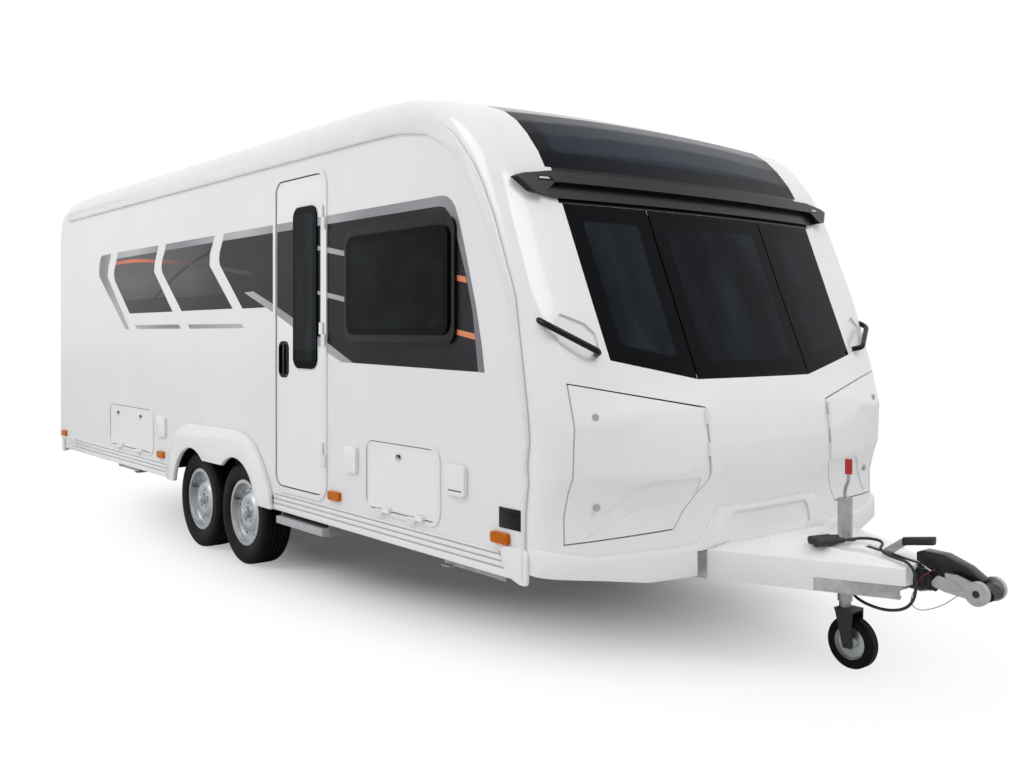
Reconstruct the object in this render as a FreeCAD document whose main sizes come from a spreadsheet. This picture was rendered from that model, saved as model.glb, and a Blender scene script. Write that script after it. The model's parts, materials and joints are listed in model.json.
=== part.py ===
"""Travel caravan on two axles, built from separate panels, frames, doors and wheels.

Millimetres. +X points forwards to the coupling, +Y to the left side, +Z up.
The origin lies on the ground below the middle of the overall length.
"""

import FreeCAD
import Part
import Sketcher
import math
import os

Vector = FreeCAD.Vector

# Driving sizes

SIZES = {
    # Body shell
    "overall_length": 7624,
    "body_width": 2335,
    "body_tail_ahead": 32,
    "body_low": 470,
    "wall_thick": 30,
    "floor_thick": 40,
    "roof_height": 2520,
    "tail_shoulder": 2180,
    "tail_round": 530,
    "nose_start_back": 2512,
    "nose_tip_back": 968,
    "crease_height": 794,
    "nose_step": 55,
    "cap_joint": 1745,
    "corner_radius": 100,
    # Side rails, skirts and arches
    "rail_width": 73,
    "rail_proud": 18,
    "skirt_low": 398,
    "skirt_high": 497,
    "skirt_proud": 9,
    "skirt_front_back": 1482,
    "arch_tail": 1233,
    "arch_front": 323,
    "arch_high": 801,
    "arch_low": 395,
    "arch_proud": 32,
    "arch_mouth": 638,
    "arch_mouth_radius": 292,
    # Wheels and axles
    "front_axle": 160,
    "axle_spacing": 652,
    "tyre_radius": 307,
    "tyre_width": 185,
    "wheel_track": 2100,
    "rim_radius": 195,
    "rim_width": 152,
    "rim_offset": 30,
    "rim_thick": 5,
    "rim_flange": 15,
    "vent_radius": 8.5,
    "vent_circle": 139,
    "bolt_radius": 9,
    "bolt_circle": 56,
    "bolt_length": 9,
    "drum_radius": 125,
    "drum_width": 62,
    "hub_radius": 32,
    "axle_tube_radius": 50,
    "axle_lead": 165,
    "arm_thick": 40,
    # Chassis
    "rail_height": 115.7,
    "rail_flange": 45,
    "rail_web": 4,
    "rail_half_gauge": 550,
    "rail_tail_ahead": 312,
    "drawbar_low": 354,
    "drawbar_bend_back": 1321,
    "drawbar_tip_back": 327,
    "drawbar_tip_half": 112,
    "jack_pad_place": 180,
    "jack_pad_length": 80,
    "jack_pad_height": 10,
    "cross_radius": 22,
    # Entrance door
    "door_tail": 342,
    "door_front": 887,
    "door_low": 535,
    "door_high": 2211,
    "door_corner": 70,
    "door_gap": 6,
    "door_thick": 30,
    "door_frame": 28,
    "door_frame_proud": 8,
    "door_glass_tail": 552,
    "door_glass_front": 811,
    "door_glass_low": 1190,
    "door_glass_high": 2050,
    "door_pull_tail": 384,
    "door_pull_front": 480,
    "door_pull_low": 1150,
    "door_pull_high": 1318,
    "door_pull_depth": 16,
    "door_pull_corner": 22,
    "door_pull_bar": 22,
    "hinge_radius": 7,
    "hinge_stand": 15.5,
    "hinge_length": 60,
    "hinge_gap": 0.4,
    # Side windows
    "window_tail_back": 2700,
    "window_front_back": 1772,
    "window_low": 1335,
    "window_high": 1890,
    "window_corner": 60,
    "window_proud": 26,
    "window_land": 34,
    "window_frame": 36,
    "window_frame_proud": 15,
    "window_rib": 3,
    "kitchen_tail": -1250,
    "kitchen_front": -300,
    "kitchen_low": 1390,
    "kitchen_high": 1890,
    "washroom_tail_ahead": 762,
    "washroom_front_ahead": 1312,
    "back_window_half": 640,
    "back_window_low": 1330,
    "back_window_high": 1880,
    # Side lockers
    "front_locker_tail_back": 2528,
    "front_locker_front_back": 1891,
    "front_locker_low": 522,
    "front_locker_high": 885,
    "tail_locker_tail_ahead": 1361,
    "tail_locker_front_ahead": 2285,
    "tail_locker_low": 514,
    "tail_locker_high": 855,
    "locker_frame": 19,
    "locker_corner": 55,
    "locker_thick": 26,
    "locker_frame_proud": 7,
    "lock_radius": 16,
    "lock_proud": 9,
    "lock_drop": 65,
    # Front windows, roof window and visor
    "pane_half": 864,
    "pane_high": 1930,
    "pane_low": 1185,
    "pane_end_low": 1271,
    "pane_end_half": 845,
    "pane_divider": 395,
    "pane_gap": 9,
    "pane_thick": 5,
    "pane_land": 22,
    "glass_seat": 0.3,
    "roof_glass_low": 2092,
    "roof_glass_top_back": 1932,
    "roof_glass_half": 890,
    "visor_half": 1084,
    "visor_low": 1972,
    "visor_high": 2068,
    "visor_proud": 42,
    "visor_scoop_high": 2018,
    "visor_scoop_proud": 14,
    "visor_sweep": 60,
    # Gas locker
    "gas_door_inner": 427,
    "gas_door_outer": 1075,
    "gas_door_high": 1074,
    "gas_door_outer_high": 1186,
    "gas_door_knee": 773,
    "gas_door_low": 569,
    "gas_door_foot": 575,
    "gas_door_outer_low": 548,
    "gas_door_thick": 24,
    "gas_door_gap": 6,
    "gas_bulkhead_back": 1482,
    "gas_shelf": 1130,
    "gas_sheet": 12,
    "wave_depth": 7,
    "gas_lock_radius": 14,
    "gas_lock_proud": 6,
    # Fairing and bumpers
    "fairing_low": 372,
    "fairing_side_low": 430,
    "fairing_side_high": 537,
    "fairing_high": 497,
    "fairing_notch_half": 455,
    "fairing_peak_half": 340,
    "fairing_peak": 646,
    "fairing_thick": 8,
    "fairing_proud": 20,
    "fairing_lip": 9,
    "fairing_gap": 3,
    "scoop_depth": 12,
    "scoop_half": 300,
    "scoop_low": 496,
    "scoop_high": 618,
    "bumper_lamp_place": 994,
    "bumper_lamp_height": 439,
    "bumper_lamp_radius": 34,
    "bumper_lamp_proud": 5,
    "bumper_low": 355,
    "bumper_high": 500,
    "bumper_wrap": 120,
    "bumper_thick": 12,
    # Grab handles
    "handle_outer": 1118,
    "handle_inner": 930,
    "handle_high": 1412,
    "handle_low": 1307,
    "handle_radius": 13,
    "handle_stand": 46,
    "handle_scoop_depth": 12,
    "handle_scoop_low": 1268,
    "handle_scoop_high": 1462,
    "handle_scoop_inner": 880,
    "handle_scoop_outer": 1066,
    # Lamps, hatches and vents
    "marker_length": 110,
    "marker_height": 45,
    "marker_proud": 18,
    "hatch_proud": 20,
    "filler_tail_back": 2700,
    "filler_front_back": 2589,
    "filler_low": 691,
    "filler_high": 822,
    "vent_tail_back": 1835,
    "vent_front_back": 1697,
    "vent_low": 684,
    "vent_high": 818,
    "socket_tail": 1433,
    "socket_front": 1286,
    "socket_low": 667,
    "socket_high": 805,
    "louvre_count": 9,
    "louvre_depth": 6,
    "plate_tail_back": 1480,
    "plate_front_back": 1343,
    "plate_low": 593,
    "plate_high": 677,
    "plate_thick": 3,
    "fog_radius": 46,
    "fog_proud": 10,
    "roof_light_side": 400,
    "roof_light_proud": 62,
    # Overrun drawbar
    "housing_tail_back": 752,
    "housing_front_back": 371,
    "housing_half": 62,
    "housing_low": 368,
    "housing_high": 478,
    "draw_height": 424,
    "draw_radius": 25,
    "housing_wing_inset": 25,
    "clamp_radius": 43,
    "clamp_length": 15,
    "gaiter_tail_radius": 48,
    "gaiter_front_radius": 38,
    "gaiter_fold": 7,
    "gaiter_front_back": 242,
    "coupling_ball_back": 47,
    "ball_radius": 25,
    "coupling_half": 34,
    "coupling_low": 389,
    "coupling_high": 456,
    "disc_radius": 45,
    "disc_half": 75,
    "disc_thick": 22,
    "disc_cap": 13,
    "side_arm_thick": 10,
    "side_arm_tail_back": 172,
    "side_arm_height": 478,
    "handle_tail_back": 305,
    "handle_front_back": 48,
    "handle_back_height": 541,
    "handle_nose_height": 467,
    "handle_half": 29,
    "handle_edge": 9,
    "brake_pivot_back": 480,
    "brake_pivot_height": 470,
    "brake_grip_back": 375,
    "brake_grip_height": 559,
    "brake_grip_length": 126,
    "brake_grip_rise": 20,
    "brake_grip_radius": 16,
    "lever_thick": 12,
    "lever_depth": 26,
    "cover_tail_back": 1072,
    "cover_front_back": 307,
    "cover_step_back": 624,
    "cover_low": 354,
    "cover_front_low": 408,
    "cover_tail_high": 490,
    "cover_high": 543,
    "cover_front_high": 484,
    "cover_gap": 0.3,
    "cover_thick": 5,
    # Jockey wheel
    "jockey_place_back": 640,
    "jockey_tube_radius": 30,
    "jockey_bore": 24.3,
    "jockey_tube_low": 272,
    "jockey_tube_high": 677,
    "jockey_stem_radius": 24,
    "jockey_stem_low": 246,
    "jockey_wheel_radius": 107,
    "jockey_wheel_width": 62,
    "jockey_trail": 36,
    "fork_thick": 5,
    "fork_gap": 6,
    "crank_radius": 7,
    "crank_reach": 62,
    "knob_radius": 15,
    # Corner steadies and step
    "steady_length": 430,
    "steady_width": 38,
    "steady_pivot_height": 338,
    "steady_foot": 62,
    "steady_tail_pivot_ahead": 1112,
    "steady_front_pivot_back": 1662,
    "steady_half_gauge": 985,
    "step_tail": 375,
    "step_front": 893,
    "step_depth": 330,
    "step_guide": 5,
    "step_low": 330,
    "step_thick": 40,
    # Tow cable and breakaway cable
    "cable_radius": 6,
    "cable_span": 400,
    "breakaway_radius": 1.5,
    "plug_radius": 17,
    "plug_length": 96,
    "boot_radius": 11,
    "boot_length": 46,
    # Cuts reach past what they cut by this much
    "overrun": 20,
}

# The nose's side profile and the size of its rounded corners, from the roof down to the crease.
# Each row has length and height shares of the nose, then the crown radius as a share of the
# body's width and the corner radius as a share of the corner size.
NOSE_SHARES = [
    (0.000, 1.000, 8.57, 1.14),
    (0.194, 0.988, 8.14, 0.96),
    (0.288, 0.974, 7.90, 0.90),
    (0.369, 0.959, 7.71, 0.84),
    (0.472, 0.929, 6.85, 1.00),
    (0.531, 0.899, 5.78, 1.00),
    (0.583, 0.861, 4.71, 1.00),
    (0.636, 0.810, 4.07, 0.90),
    (0.683, 0.749, 3.51, 0.80),
    (0.733, 0.656, 3.21, 0.62),
    (0.821, 0.460, 3.21, 0.57),
    (0.905, 0.276, 3.21, 1.46),
    (0.926, 0.229, 2.78, 1.65),
    (0.979, 0.162, 1.84, 1.90),
    (0.995, 0.079, 1.58, 1.80),
    (1.000, 0.000, 1.46, 1.80),
]
# Below the crease: how far the face steps back as a share of the step, and height share
STEP_SHARES = [
    (0.69, 0.71, 1.46, 1.35),
    (1.00, 0.525, 1.46, 1.15),
    (0.89, 0.000, 1.46, 1.25),
]
# The tail from its foot up and over to the roof
TAIL_SHARES = [
    (0.000, 0.000, 17.0, 0.45),
    (0.060, 0.441, 15.0, 0.55),
    (0.245, 0.735, 12.0, 0.70),
    (0.528, 0.912, 10.0, 0.95),
    (1.000, 1.000, 8.57, 1.14),
]


class Size(float):
    """A length that remembers the sheet formula that gives it."""

    def __new__(cls, number, formula):
        size = super().__new__(cls, number)
        size.formula = formula
        return size

    def _with(self, number, other, sign, swap=False):
        first, second = written(self), written(other)
        if swap:
            first, second = second, first
        return Size(number, "(" + first + " " + sign + " " + second + ")")

    def __add__(self, other):
        return self._with(float(self) + float(other), other, "+")

    def __radd__(self, other):
        return self._with(float(other) + float(self), other, "+", True)

    def __sub__(self, other):
        return self._with(float(self) - float(other), other, "-")

    def __rsub__(self, other):
        return self._with(float(other) - float(self), other, "-", True)

    def __mul__(self, other):
        return self._with(float(self) * float(other), other, "*")

    def __rmul__(self, other):
        return self._with(float(other) * float(self), other, "*", True)

    def __truediv__(self, other):
        return self._with(float(self) / float(other), other, "/")

    def __neg__(self):
        return Size(-float(self), "(0 - " + self.formula + ")")


def written(size):
    """The formula of a size, or the digits of a plain number."""
    if isinstance(size, Size):
        return size.formula
    return repr(float(size))


class Sizes:
    """Every driving size by its name, each bound to its cell of the sheet."""

    def __init__(self, document):
        sheet = document.addObject("Spreadsheet::Sheet", "sizes")
        for row, (name, number) in enumerate(SIZES.items(), start=1):
            sheet.set("A" + str(row), name)
            sheet.set("B" + str(row), str(number))
            sheet.setAlias("B" + str(row), name)
        document.recompute()
        for name in SIZES:
            setattr(self, name, Size(float(sheet.get(name)), "sizes." + name))


document = FreeCAD.newDocument("travel_caravan")
d = Sizes(document)
NODES = {}

side = d.body_width / 2
reach = d.overall_length / 2
nose_end = reach
tail_end = -reach

# Places near the nose are kept as lengths back from the coupling's tip, and those near the tail as
# lengths ahead of the rear bumper, so that a longer caravan grows in its middle
for name in SIZES:
    if name.endswith("_back"):
        setattr(d, name[:-len("_back")], reach - getattr(d, name))
    if name.endswith("_ahead"):
        setattr(d, name[:-len("_ahead")], reach - getattr(d, name))
wall_inside = side - d.wall_thick
floor_top = d.body_low + d.floor_thick


# Helpers for the document's objects


def bind(item, name, size):
    """Sets a property and ties it to the sheet when the size has a formula."""
    owner, value = item, float(size)
    *path, last = name.split(".")
    if not path:
        setattr(owner, last, value)
    if isinstance(size, Size):
        item.setExpression(name, size.formula)


def place(item, x=0.0, y=0.0, z=0.0):
    """Moves an object and ties its place to the sheet."""
    item.Placement = FreeCAD.Placement(
        Vector(float(x), float(y), float(z)), item.Placement.Rotation
    )
    for axis, size in zip("xyz", (x, y, z)):
        if isinstance(size, Size):
            item.setExpression("Placement.Base." + axis, size.formula)
    return item


def turn(item, axis, angle):
    """Turns an object about its own origin before it is placed."""
    item.Placement = FreeCAD.Placement(item.Placement.Base, FreeCAD.Rotation(Vector(*axis), angle))
    return item


def node(name, item):
    """Labels the object that makes a sub-part."""
    item.Label = name
    NODES[name] = item
    return item


def box(x, y, z, length, width, height):
    item = document.addObject("Part::Box", "block")
    bind(item, "Length", length)
    bind(item, "Width", width)
    bind(item, "Height", height)
    return place(item, x, y, z)


def rod(radius, length, x, y, z, axis="z"):
    """A cylinder from a place along +X, +Y or +Z."""
    item = document.addObject("Part::Cylinder", "rod")
    bind(item, "Radius", radius)
    bind(item, "Height", length)
    if axis == "x":
        turn(item, (0, 1, 0), 90)
    if axis == "y":
        turn(item, (1, 0, 0), -90)
    return place(item, x, y, z)


def fuse(*items):
    item = document.addObject("Part::MultiFuse", "joined")
    item.Shapes = list(items)
    item.Refine = True
    return item


def cut(base, *tools):
    item = document.addObject("Part::Cut", "trimmed")
    item.Base = base
    item.Tool = tools[0] if len(tools) == 1 else fuse(*tools)
    return item


def group(*items):
    """Several solids that don't touch, kept as one sub-part."""
    item = document.addObject("Part::Compound", "set")
    item.Links = list(items)
    return item


def mirrored(item):
    """The same piece on the other side."""
    twin = document.addObject("Part::Mirroring", "twin")
    twin.Source = item
    twin.Normal = Vector(0, 1, 0)
    return twin


def feature(shape):
    item = document.addObject("Part::Feature", "form")
    item.Shape = shape
    item.Placement = FreeCAD.Placement()
    return item


def origin_plane(body, role):
    return next(plane for plane in body.Origin.OriginFeatures if plane.Role == role)


def tie(sketch, geometry, point, place_2d):
    """Fixes one point of a sketch at a place given by two sizes."""
    for kind, size in zip(("DistanceX", "DistanceY"), place_2d):
        index = sketch.addConstraint(Sketcher.Constraint(kind, -1, 1, geometry, point, float(size)))
        if isinstance(size, Size):
            sketch.setExpression("Constraints[" + str(index) + "]", size.formula)


def new_sketch(body, role, offset):
    sketch = body.newObject("Sketcher::SketchObject", "outline")
    sketch.AttachmentSupport = [(origin_plane(body, role), "")]
    sketch.MapMode = "FlatFace"
    sketch.AttachmentOffset = FreeCAD.Placement(Vector(0, 0, float(offset)), FreeCAD.Rotation())
    if isinstance(offset, Size):
        sketch.setExpression("AttachmentOffset.Base.z", offset.formula)
    return sketch


def outline(body, role, corners, offset=0.0):
    """A closed outline of straight lines; every corner is tied to two sizes."""
    sketch = new_sketch(body, role, offset)
    count = len(corners)
    ends = [Vector(float(u), float(v), 0) for u, v in corners]
    for index in range(count):
        sketch.addGeometry(Part.LineSegment(ends[index], ends[(index + 1) % count]), False)
    for index in range(count):
        sketch.addConstraint(Sketcher.Constraint("Coincident", index, 2, (index + 1) % count, 1))
        tie(sketch, index, 1, corners[index])
    return sketch


def circles(body, role, centres, radius, offset=0.0):
    sketch = new_sketch(body, role, offset)
    for centre in centres:
        ring = Part.Circle(Vector(float(centre[0]), float(centre[1]), 0), Vector(0, 0, 1), float(radius))
        index = sketch.addGeometry(ring, False)
        tie(sketch, index, 3, centre)
        index = sketch.addConstraint(Sketcher.Constraint("Radius", index, float(radius)))
        if isinstance(radius, Size):
            sketch.setExpression("Constraints[" + str(index) + "]", radius.formula)
    return sketch


def new_body():
    return document.addObject("PartDesign::Body", "body")


def pad(body, sketch, length):
    """Thickens a sketch along its plane's normal."""
    item = body.newObject("PartDesign::Pad", "pad")
    item.Profile = (sketch, [""])
    bind(item, "Length", length)
    sketch.Visibility = False
    return item


def pocket(body, sketch, length):
    """Cuts a sketch's form backwards from its plane."""
    item = body.newObject("PartDesign::Pocket", "pocket")
    item.Profile = (sketch, [""])
    bind(item, "Length", length)
    return item


def rounded(body, radius, direction):
    """Rounds the edges that run along one direction."""
    document.recompute()
    names = []
    along = Vector(*direction)
    for index, edge in enumerate(body.Shape.Edges, start=1):
        if edge.Curve.TypeId != "Part::GeomLine":
            continue
        if abs(edge.Curve.Direction.dot(along)) > 0.999:
            names.append("Edge" + str(index))
    base = body.Tip
    item = body.newObject("PartDesign::Fillet", "rounding")
    item.Base = (base, names)
    bind(item, "Radius", radius)
    return item


def revolved(corners, x, y, z, role="YZ_Plane"):
    """A ring turned about the outline's level axis from corners given as width and radius."""
    body = new_body()
    sketch = outline(body, role, corners)
    item = body.newObject("PartDesign::Revolution", "turned")
    item.Profile = (sketch, [""])
    item.ReferenceAxis = (sketch, ["H_Axis"])
    item.Angle = 360
    place(body, x, y, z)
    return body


def lofted(body, kind, sections):
    """Joins sketches in a row by flat-sided loft; kind adds or cuts."""
    item = body.newObject("PartDesign::" + kind + "Loft", "loft")
    item.Profile = (sections[0], [""])
    item.Sections = [(section, [""]) for section in sections[1:]]
    item.Ruled = True
    return item


def ring_of(body, first, sketch, count):
    """Repeats a feature round the axis that stands on its sketch."""
    item = body.newObject("PartDesign::PolarPattern", "ring")
    item.Originals = [first]
    item.Axis = (sketch, ["N_Axis"])
    item.Angle = 360
    item.Occurrences = int(count)
    return item


def row_of(body, first, sketch, axis, length, count):
    """Repeats a feature in a straight row."""
    item = body.newObject("PartDesign::LinearPattern", "row")
    item.Originals = [first]
    item.Direction = (sketch, [axis])
    bind(item, "Length", length)
    item.Occurrences = int(count)
    return item


def plate(role, corners, start, thick, radius=None, direction=(0, 1, 0)):
    """A flat piece padded from an outline, with its corners rounded."""
    body = new_body()
    pad(body, outline(body, role, corners, start), thick)
    if radius is not None:
        rounded(body, radius, direction)
    return body


def rectangle(u_low, u_high, v_low, v_high):
    return [(u_low, v_low), (u_high, v_low), (u_high, v_high), (u_low, v_high)]


# The body's shell: rounded sections along the side profile


class Station:
    """One cross-section of the shell: its crown point, outward normal and two radii."""

    def __init__(self, x, z, crown, corner):
        self.x, self.z = x, z
        self.crown, self.corner = crown, corner
        self.normal = Vector(0, 0, 1)

    def settle(self):
        """Finds where the rounded corner meets the side plane."""
        reach = float(side) - self.corner
        self.drop = math.sqrt((self.crown - self.corner) ** 2 - reach ** 2) - self.crown
        self.lean = Vector(reach, self.drop + self.crown, 0).normalize()

    def point(self, y, rise):
        return Vector(self.x, y, self.z) + self.normal * rise

    def ridge(self, inset=0.0):
        return self.point(float(side), self.drop - inset)

    def arc_points(self, inset):
        """Points from the right ridge over the crown to the left ridge at one depth."""
        reach = float(side) - self.corner
        radius = self.corner - inset
        middle = (self.lean + Vector(1, 0, 0)).normalize()
        tangent = self.lean * (self.crown - inset)
        return [
            (float(side) - inset, self.drop),
            (reach + radius * middle.x, self.drop + radius * middle.y),
            (tangent.x, tangent.y - self.crown),
            (0.0, -inset),
        ]

    def section(self, outer, inner):
        """A closed thin section between two depths below the surface."""
        edges = self.half_ring(outer, 1.0) + self.half_ring(inner, -1.0)
        joined = []
        for index, edge in enumerate(edges):
            joined.append(edge)
        first = self.arc_points(outer)[0]
        second = self.arc_points(inner)[0]
        right = Part.makeLine(self.point(first[0], first[1]), self.point(second[0], second[1]))
        left = Part.makeLine(self.point(-second[0], second[1]), self.point(-first[0], first[1]))
        return Part.Wire(joined[:3] + [right] + joined[3:] + [left])

    def half_ring(self, inset, way):
        """Three arcs: corner, crown, corner; way 1 runs to the left side, -1 back."""
        end, middle, tangent, top = self.arc_points(inset)

        def at(place, sign):
            return self.point(sign * place[0], place[1])

        first = Part.Arc(at(end, -way), at(middle, -way), at(tangent, -way)).toShape()
        second = Part.Arc(at(tangent, -way), at(top, 1), at(tangent, way)).toShape()
        third = Part.Arc(at(tangent, way), at(middle, way), at(end, way)).toShape()
        return [first, second, third]


def shell_stations():
    """All stations from the tail's foot over the roof to the nose's foot."""
    width = float(d.body_width)
    corner = float(d.corner_radius)
    rise = float(d.roof_height - d.tail_shoulder)
    rows = [(-float(d.body_tail), float(d.body_low), 17.0, 0.45)]
    for along, up, crown, round_share in TAIL_SHARES:
        x = -float(d.body_tail) + along * float(d.tail_round)
        rows.append((x, float(d.tail_shoulder) + up * rise, crown, round_share))
    for along, up, crown, round_share in NOSE_SHARES:
        x = float(d.nose_start) + along * float(d.nose_tip - d.nose_start)
        z = float(d.crease_height) + up * float(d.roof_height - d.crease_height)
        rows.append((x, z, crown, round_share))
    for back, up, crown, round_share in STEP_SHARES:
        x = float(d.nose_tip) - back * float(d.nose_step)
        z = float(d.body_low) + up * float(d.crease_height - d.body_low)
        rows.append((x, z, crown, round_share))
    stations = [Station(x, z, crown * width, share * corner) for x, z, crown, share in rows]
    set_normals(stations)
    return stations


def set_normals(stations):
    """Each normal halves the angle between the two stretches that meet there."""
    directions = []
    for first, second in zip(stations, stations[1:]):
        directions.append(Vector(second.x - first.x, 0, second.z - first.z).normalize())
    for index, station in enumerate(stations):
        before = directions[max(index - 1, 0)]
        after = directions[min(index, len(directions) - 1)]
        along = (before + after).normalize()
        station.normal = Vector(-along.z, 0, along.x)
        station.settle()
    stations[0].normal = Vector(-1, 0, 0)
    stations[-1].normal = Vector(1, 0, 0)


STATIONS = shell_stations()
ROOF_FIRST = len(TAIL_SHARES)
CAP_FIRST = ROOF_FIRST + 3
NOSE_FOOT = len(STATIONS) - 1


def band(first, last, outer, inner):
    """The shell between two stations and two depths, in ruled strips."""
    wires = [station.section(float(outer), float(inner)) for station in STATIONS[first:last + 1]]
    return Part.makeLoft(wires, True, True)


def nose_band(low, high, outer, inner):
    """The nose's shell between two heights, with a little more at both ends."""
    spare = float(d.overrun) * 2
    first, last = CAP_FIRST, NOSE_FOOT
    for index in range(CAP_FIRST, NOSE_FOOT + 1):
        if STATIONS[index].z > float(high) + spare:
            first = index
        if STATIONS[index].z > float(low) - spare:
            last = min(index + 1, NOSE_FOOT)
    return band(first, last, outer, inner)


def prism_x(corners, start, end):
    """A block along X from an outline of (y, z) places."""
    points = [Vector(float(start), float(y), float(z)) for y, z in corners]
    return Part.Face(Part.makePolygon(points + points[:1])).extrude(Vector(float(end - start), 0, 0))


def prism_y(corners, start, end):
    """A block along Y from an outline of (x, z) places."""
    points = [Vector(float(x), float(start), float(z)) for x, z in corners]
    return Part.Face(Part.makePolygon(points + points[:1])).extrude(Vector(0, float(end - start), 0))


def prism_z(corners, start, end):
    """A block along Z from an outline of (x, y) places."""
    points = [Vector(float(x), float(y), float(start)) for x, y in corners]
    return Part.Face(Part.makePolygon(points + points[:1])).extrude(Vector(0, 0, float(end - start)))


def soft_block(block, radius, along):
    """Rounds a block's edges that run along one direction."""
    edges = []
    for edge in block.Edges:
        tangent = edge.tangentAt(edge.FirstParameter)
        if abs(tangent.dot(Vector(*along))) > 0.999:
            edges.append(edge)
    return block.makeFillet(float(radius), edges)


def soft_rectangle_y(x_low, x_high, z_low, z_high, start, end, radius):
    return soft_block(prism_y(rectangle(x_low, x_high, z_low, z_high), start, end), radius, (0, 1, 0))


# Side walls


def wall_points(inset=0.0):
    """The ridge line of the side, from the tail's foot over the roof to the nose's foot."""
    points = [station.ridge(inset) for station in STATIONS]
    points[0].z = float(d.body_low)
    points[-1].z = float(d.body_low)
    return [(point.x, point.z) for point in points]


def side_wall(openings):
    """The right wall as a flat panel with its openings cut."""
    wall = prism_y(wall_points(), -side, -wall_inside)
    for opening in openings:
        wall = wall.cut(opening)
    return wall


def wall_hole(x_low, x_high, z_low, z_high, radius):
    return soft_rectangle_y(x_low, x_high, z_low, z_high, -(side + d.overrun), -(wall_inside - d.overrun), radius)


def frame_ring(x_low, x_high, z_low, z_high, width, proud, radius):
    """A moulded frame that stands proud of the right wall."""
    start, end = -(side + proud), -side
    outer = soft_rectangle_y(x_low - width, x_high + width, z_low - width, z_high + width, start, end,
                             radius + width)
    inner = soft_rectangle_y(x_low, x_high, z_low, z_high, start - d.overrun, end + d.overrun, radius)
    return outer.cut(inner)


def window_hole(tail, front, low, high):
    land = d.window_land
    return wall_hole(tail + land, front - land, low + land, high - land, d.window_corner - land / 2)


def wheel_hole():
    """The wall is cut away where the wheel box opens behind the arch moulding."""
    corners = box_outline(d.gas_sheet / 2, d.body_low - d.overrun)
    return prism_y(corners, -(side + d.overrun), -(wall_inside - d.overrun))


def box_outline(inset, low):
    """The side outline of the space above a pair of wheels."""
    tail, front = box_tail() + inset, box_front() - inset
    top, slope = d.tyre_radius * 2 + d.corner_radius - inset, d.corner_radius
    return [(tail, low), (tail, top - slope), (tail + slope, top), (front - slope, top), (front, top - slope),
            (front, low)]


def locker_hole(tail, front, low, high):
    frame = d.locker_frame
    return wall_hole(tail + frame, front - frame, low + frame, high - frame, d.locker_corner)


def front_locker_door_places():
    frame = d.locker_frame
    return (d.front_locker_tail + frame, d.front_locker_front - frame,
            d.front_locker_low + frame, d.front_locker_high - frame)


def tail_locker_door_places():
    frame = d.locker_frame
    return (-(d.tail_locker_tail - frame), -(d.tail_locker_front + frame),
            d.tail_locker_low + frame, d.tail_locker_high - frame)


def right_wall():
    holes = [
        wall_hole(d.door_tail, d.door_front, d.door_low, d.door_high, d.door_corner),
        window_hole(d.window_tail, d.window_front, d.window_low, d.window_high),
        wheel_hole(),
    ]
    for places in (front_locker_door_places(), tail_locker_door_places()):
        holes.append(wall_hole(*places, d.locker_corner))
    wall = side_wall(holes)
    frame = frame_ring(d.door_tail, d.door_front, d.door_low, d.door_high, d.door_frame,
                       d.door_frame_proud, d.door_corner)
    wall = wall.fuse(frame)
    for places in (front_locker_door_places(), tail_locker_door_places()):
        wall = wall.fuse(frame_ring(*places, d.locker_frame, d.locker_frame_proud, d.locker_corner))
    for height in door_hinge_heights():
        wall = wall.fuse(hinge_eye(d.door_front, height, -1))
    for places in (front_locker_door_places(), tail_locker_door_places()):
        for centre in locker_hinge_centres(places):
            wall = wall.fuse(locker_eye(centre, places[2], -1))
    node("side_wall_right", feature(wall.removeSplitter()))


def left_wall():
    holes = [
        window_hole(d.window_tail, d.window_front, d.window_low, d.window_high),
        window_hole(d.kitchen_tail, d.kitchen_front, d.kitchen_low, d.kitchen_high),
        window_hole(-d.washroom_tail, -d.washroom_front, d.kitchen_low, d.kitchen_high),
        wheel_hole(),
    ]
    wall = side_wall(holes)
    node("side_wall_left", feature(wall.mirror(Vector(0, 0, 0), Vector(0, 1, 0))))


# Hinges: an eye on the wall and an eye on the door share one axis


def door_hinge_heights():
    rise = d.door_high - d.door_low
    return [d.door_low + rise * share for share in (0.13, 0.5, 0.86)]


def hinge_eye(x, height, way):
    """A short upright eye with its leaf; way -1 is the wall's lower eye, 1 the door's upper eye."""
    length, gap = d.hinge_length, d.hinge_gap
    low = height - length - gap / 2 if way < 0 else height + gap / 2
    centre_y = -(side + d.hinge_stand)
    barrel = Part.makeCylinder(float(d.hinge_radius), float(length), Vector(float(x), float(centre_y), float(low)))
    reach = d.door_frame if way < 0 else -d.door_frame
    start = x if way < 0 else x + reach
    face = side + d.door_frame_proud if way < 0 else side
    leaf = Part.makeBox(float(abs(reach)), float(d.hinge_stand - (face - side)) + float(d.hinge_radius) / 2,
                        float(length), Vector(float(start), float(centre_y - d.hinge_radius / 2), float(low)))
    return barrel.fuse(leaf)


def locker_hinge_centres(places):
    tail, front = places[0], places[1]
    return [tail + (front - tail) * share for share in (0.27, 0.73)]


def locker_eye(centre, low, way):
    """A lying eye below a locker door; way -1 belongs to the wall, 1 to the door."""
    length, gap = d.hinge_length, d.hinge_gap
    start = centre - length - gap / 2 if way < 0 else centre + gap / 2
    axis_y = -(side + d.hinge_stand)
    barrel = Part.makeCylinder(float(d.hinge_radius), float(length),
                               Vector(float(start), float(axis_y), float(low)), Vector(1, 0, 0))
    frame = d.locker_frame
    z = low - frame if way < 0 else low
    face = side + d.locker_frame_proud if way < 0 else side
    leaf = Part.makeBox(float(length), float(d.hinge_stand - (face - side)) + float(d.hinge_radius) / 2, float(frame),
                        Vector(float(start), float(axis_y - d.hinge_radius / 2), float(z)))
    return barrel.fuse(leaf)


# Panels made from the shell


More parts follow.
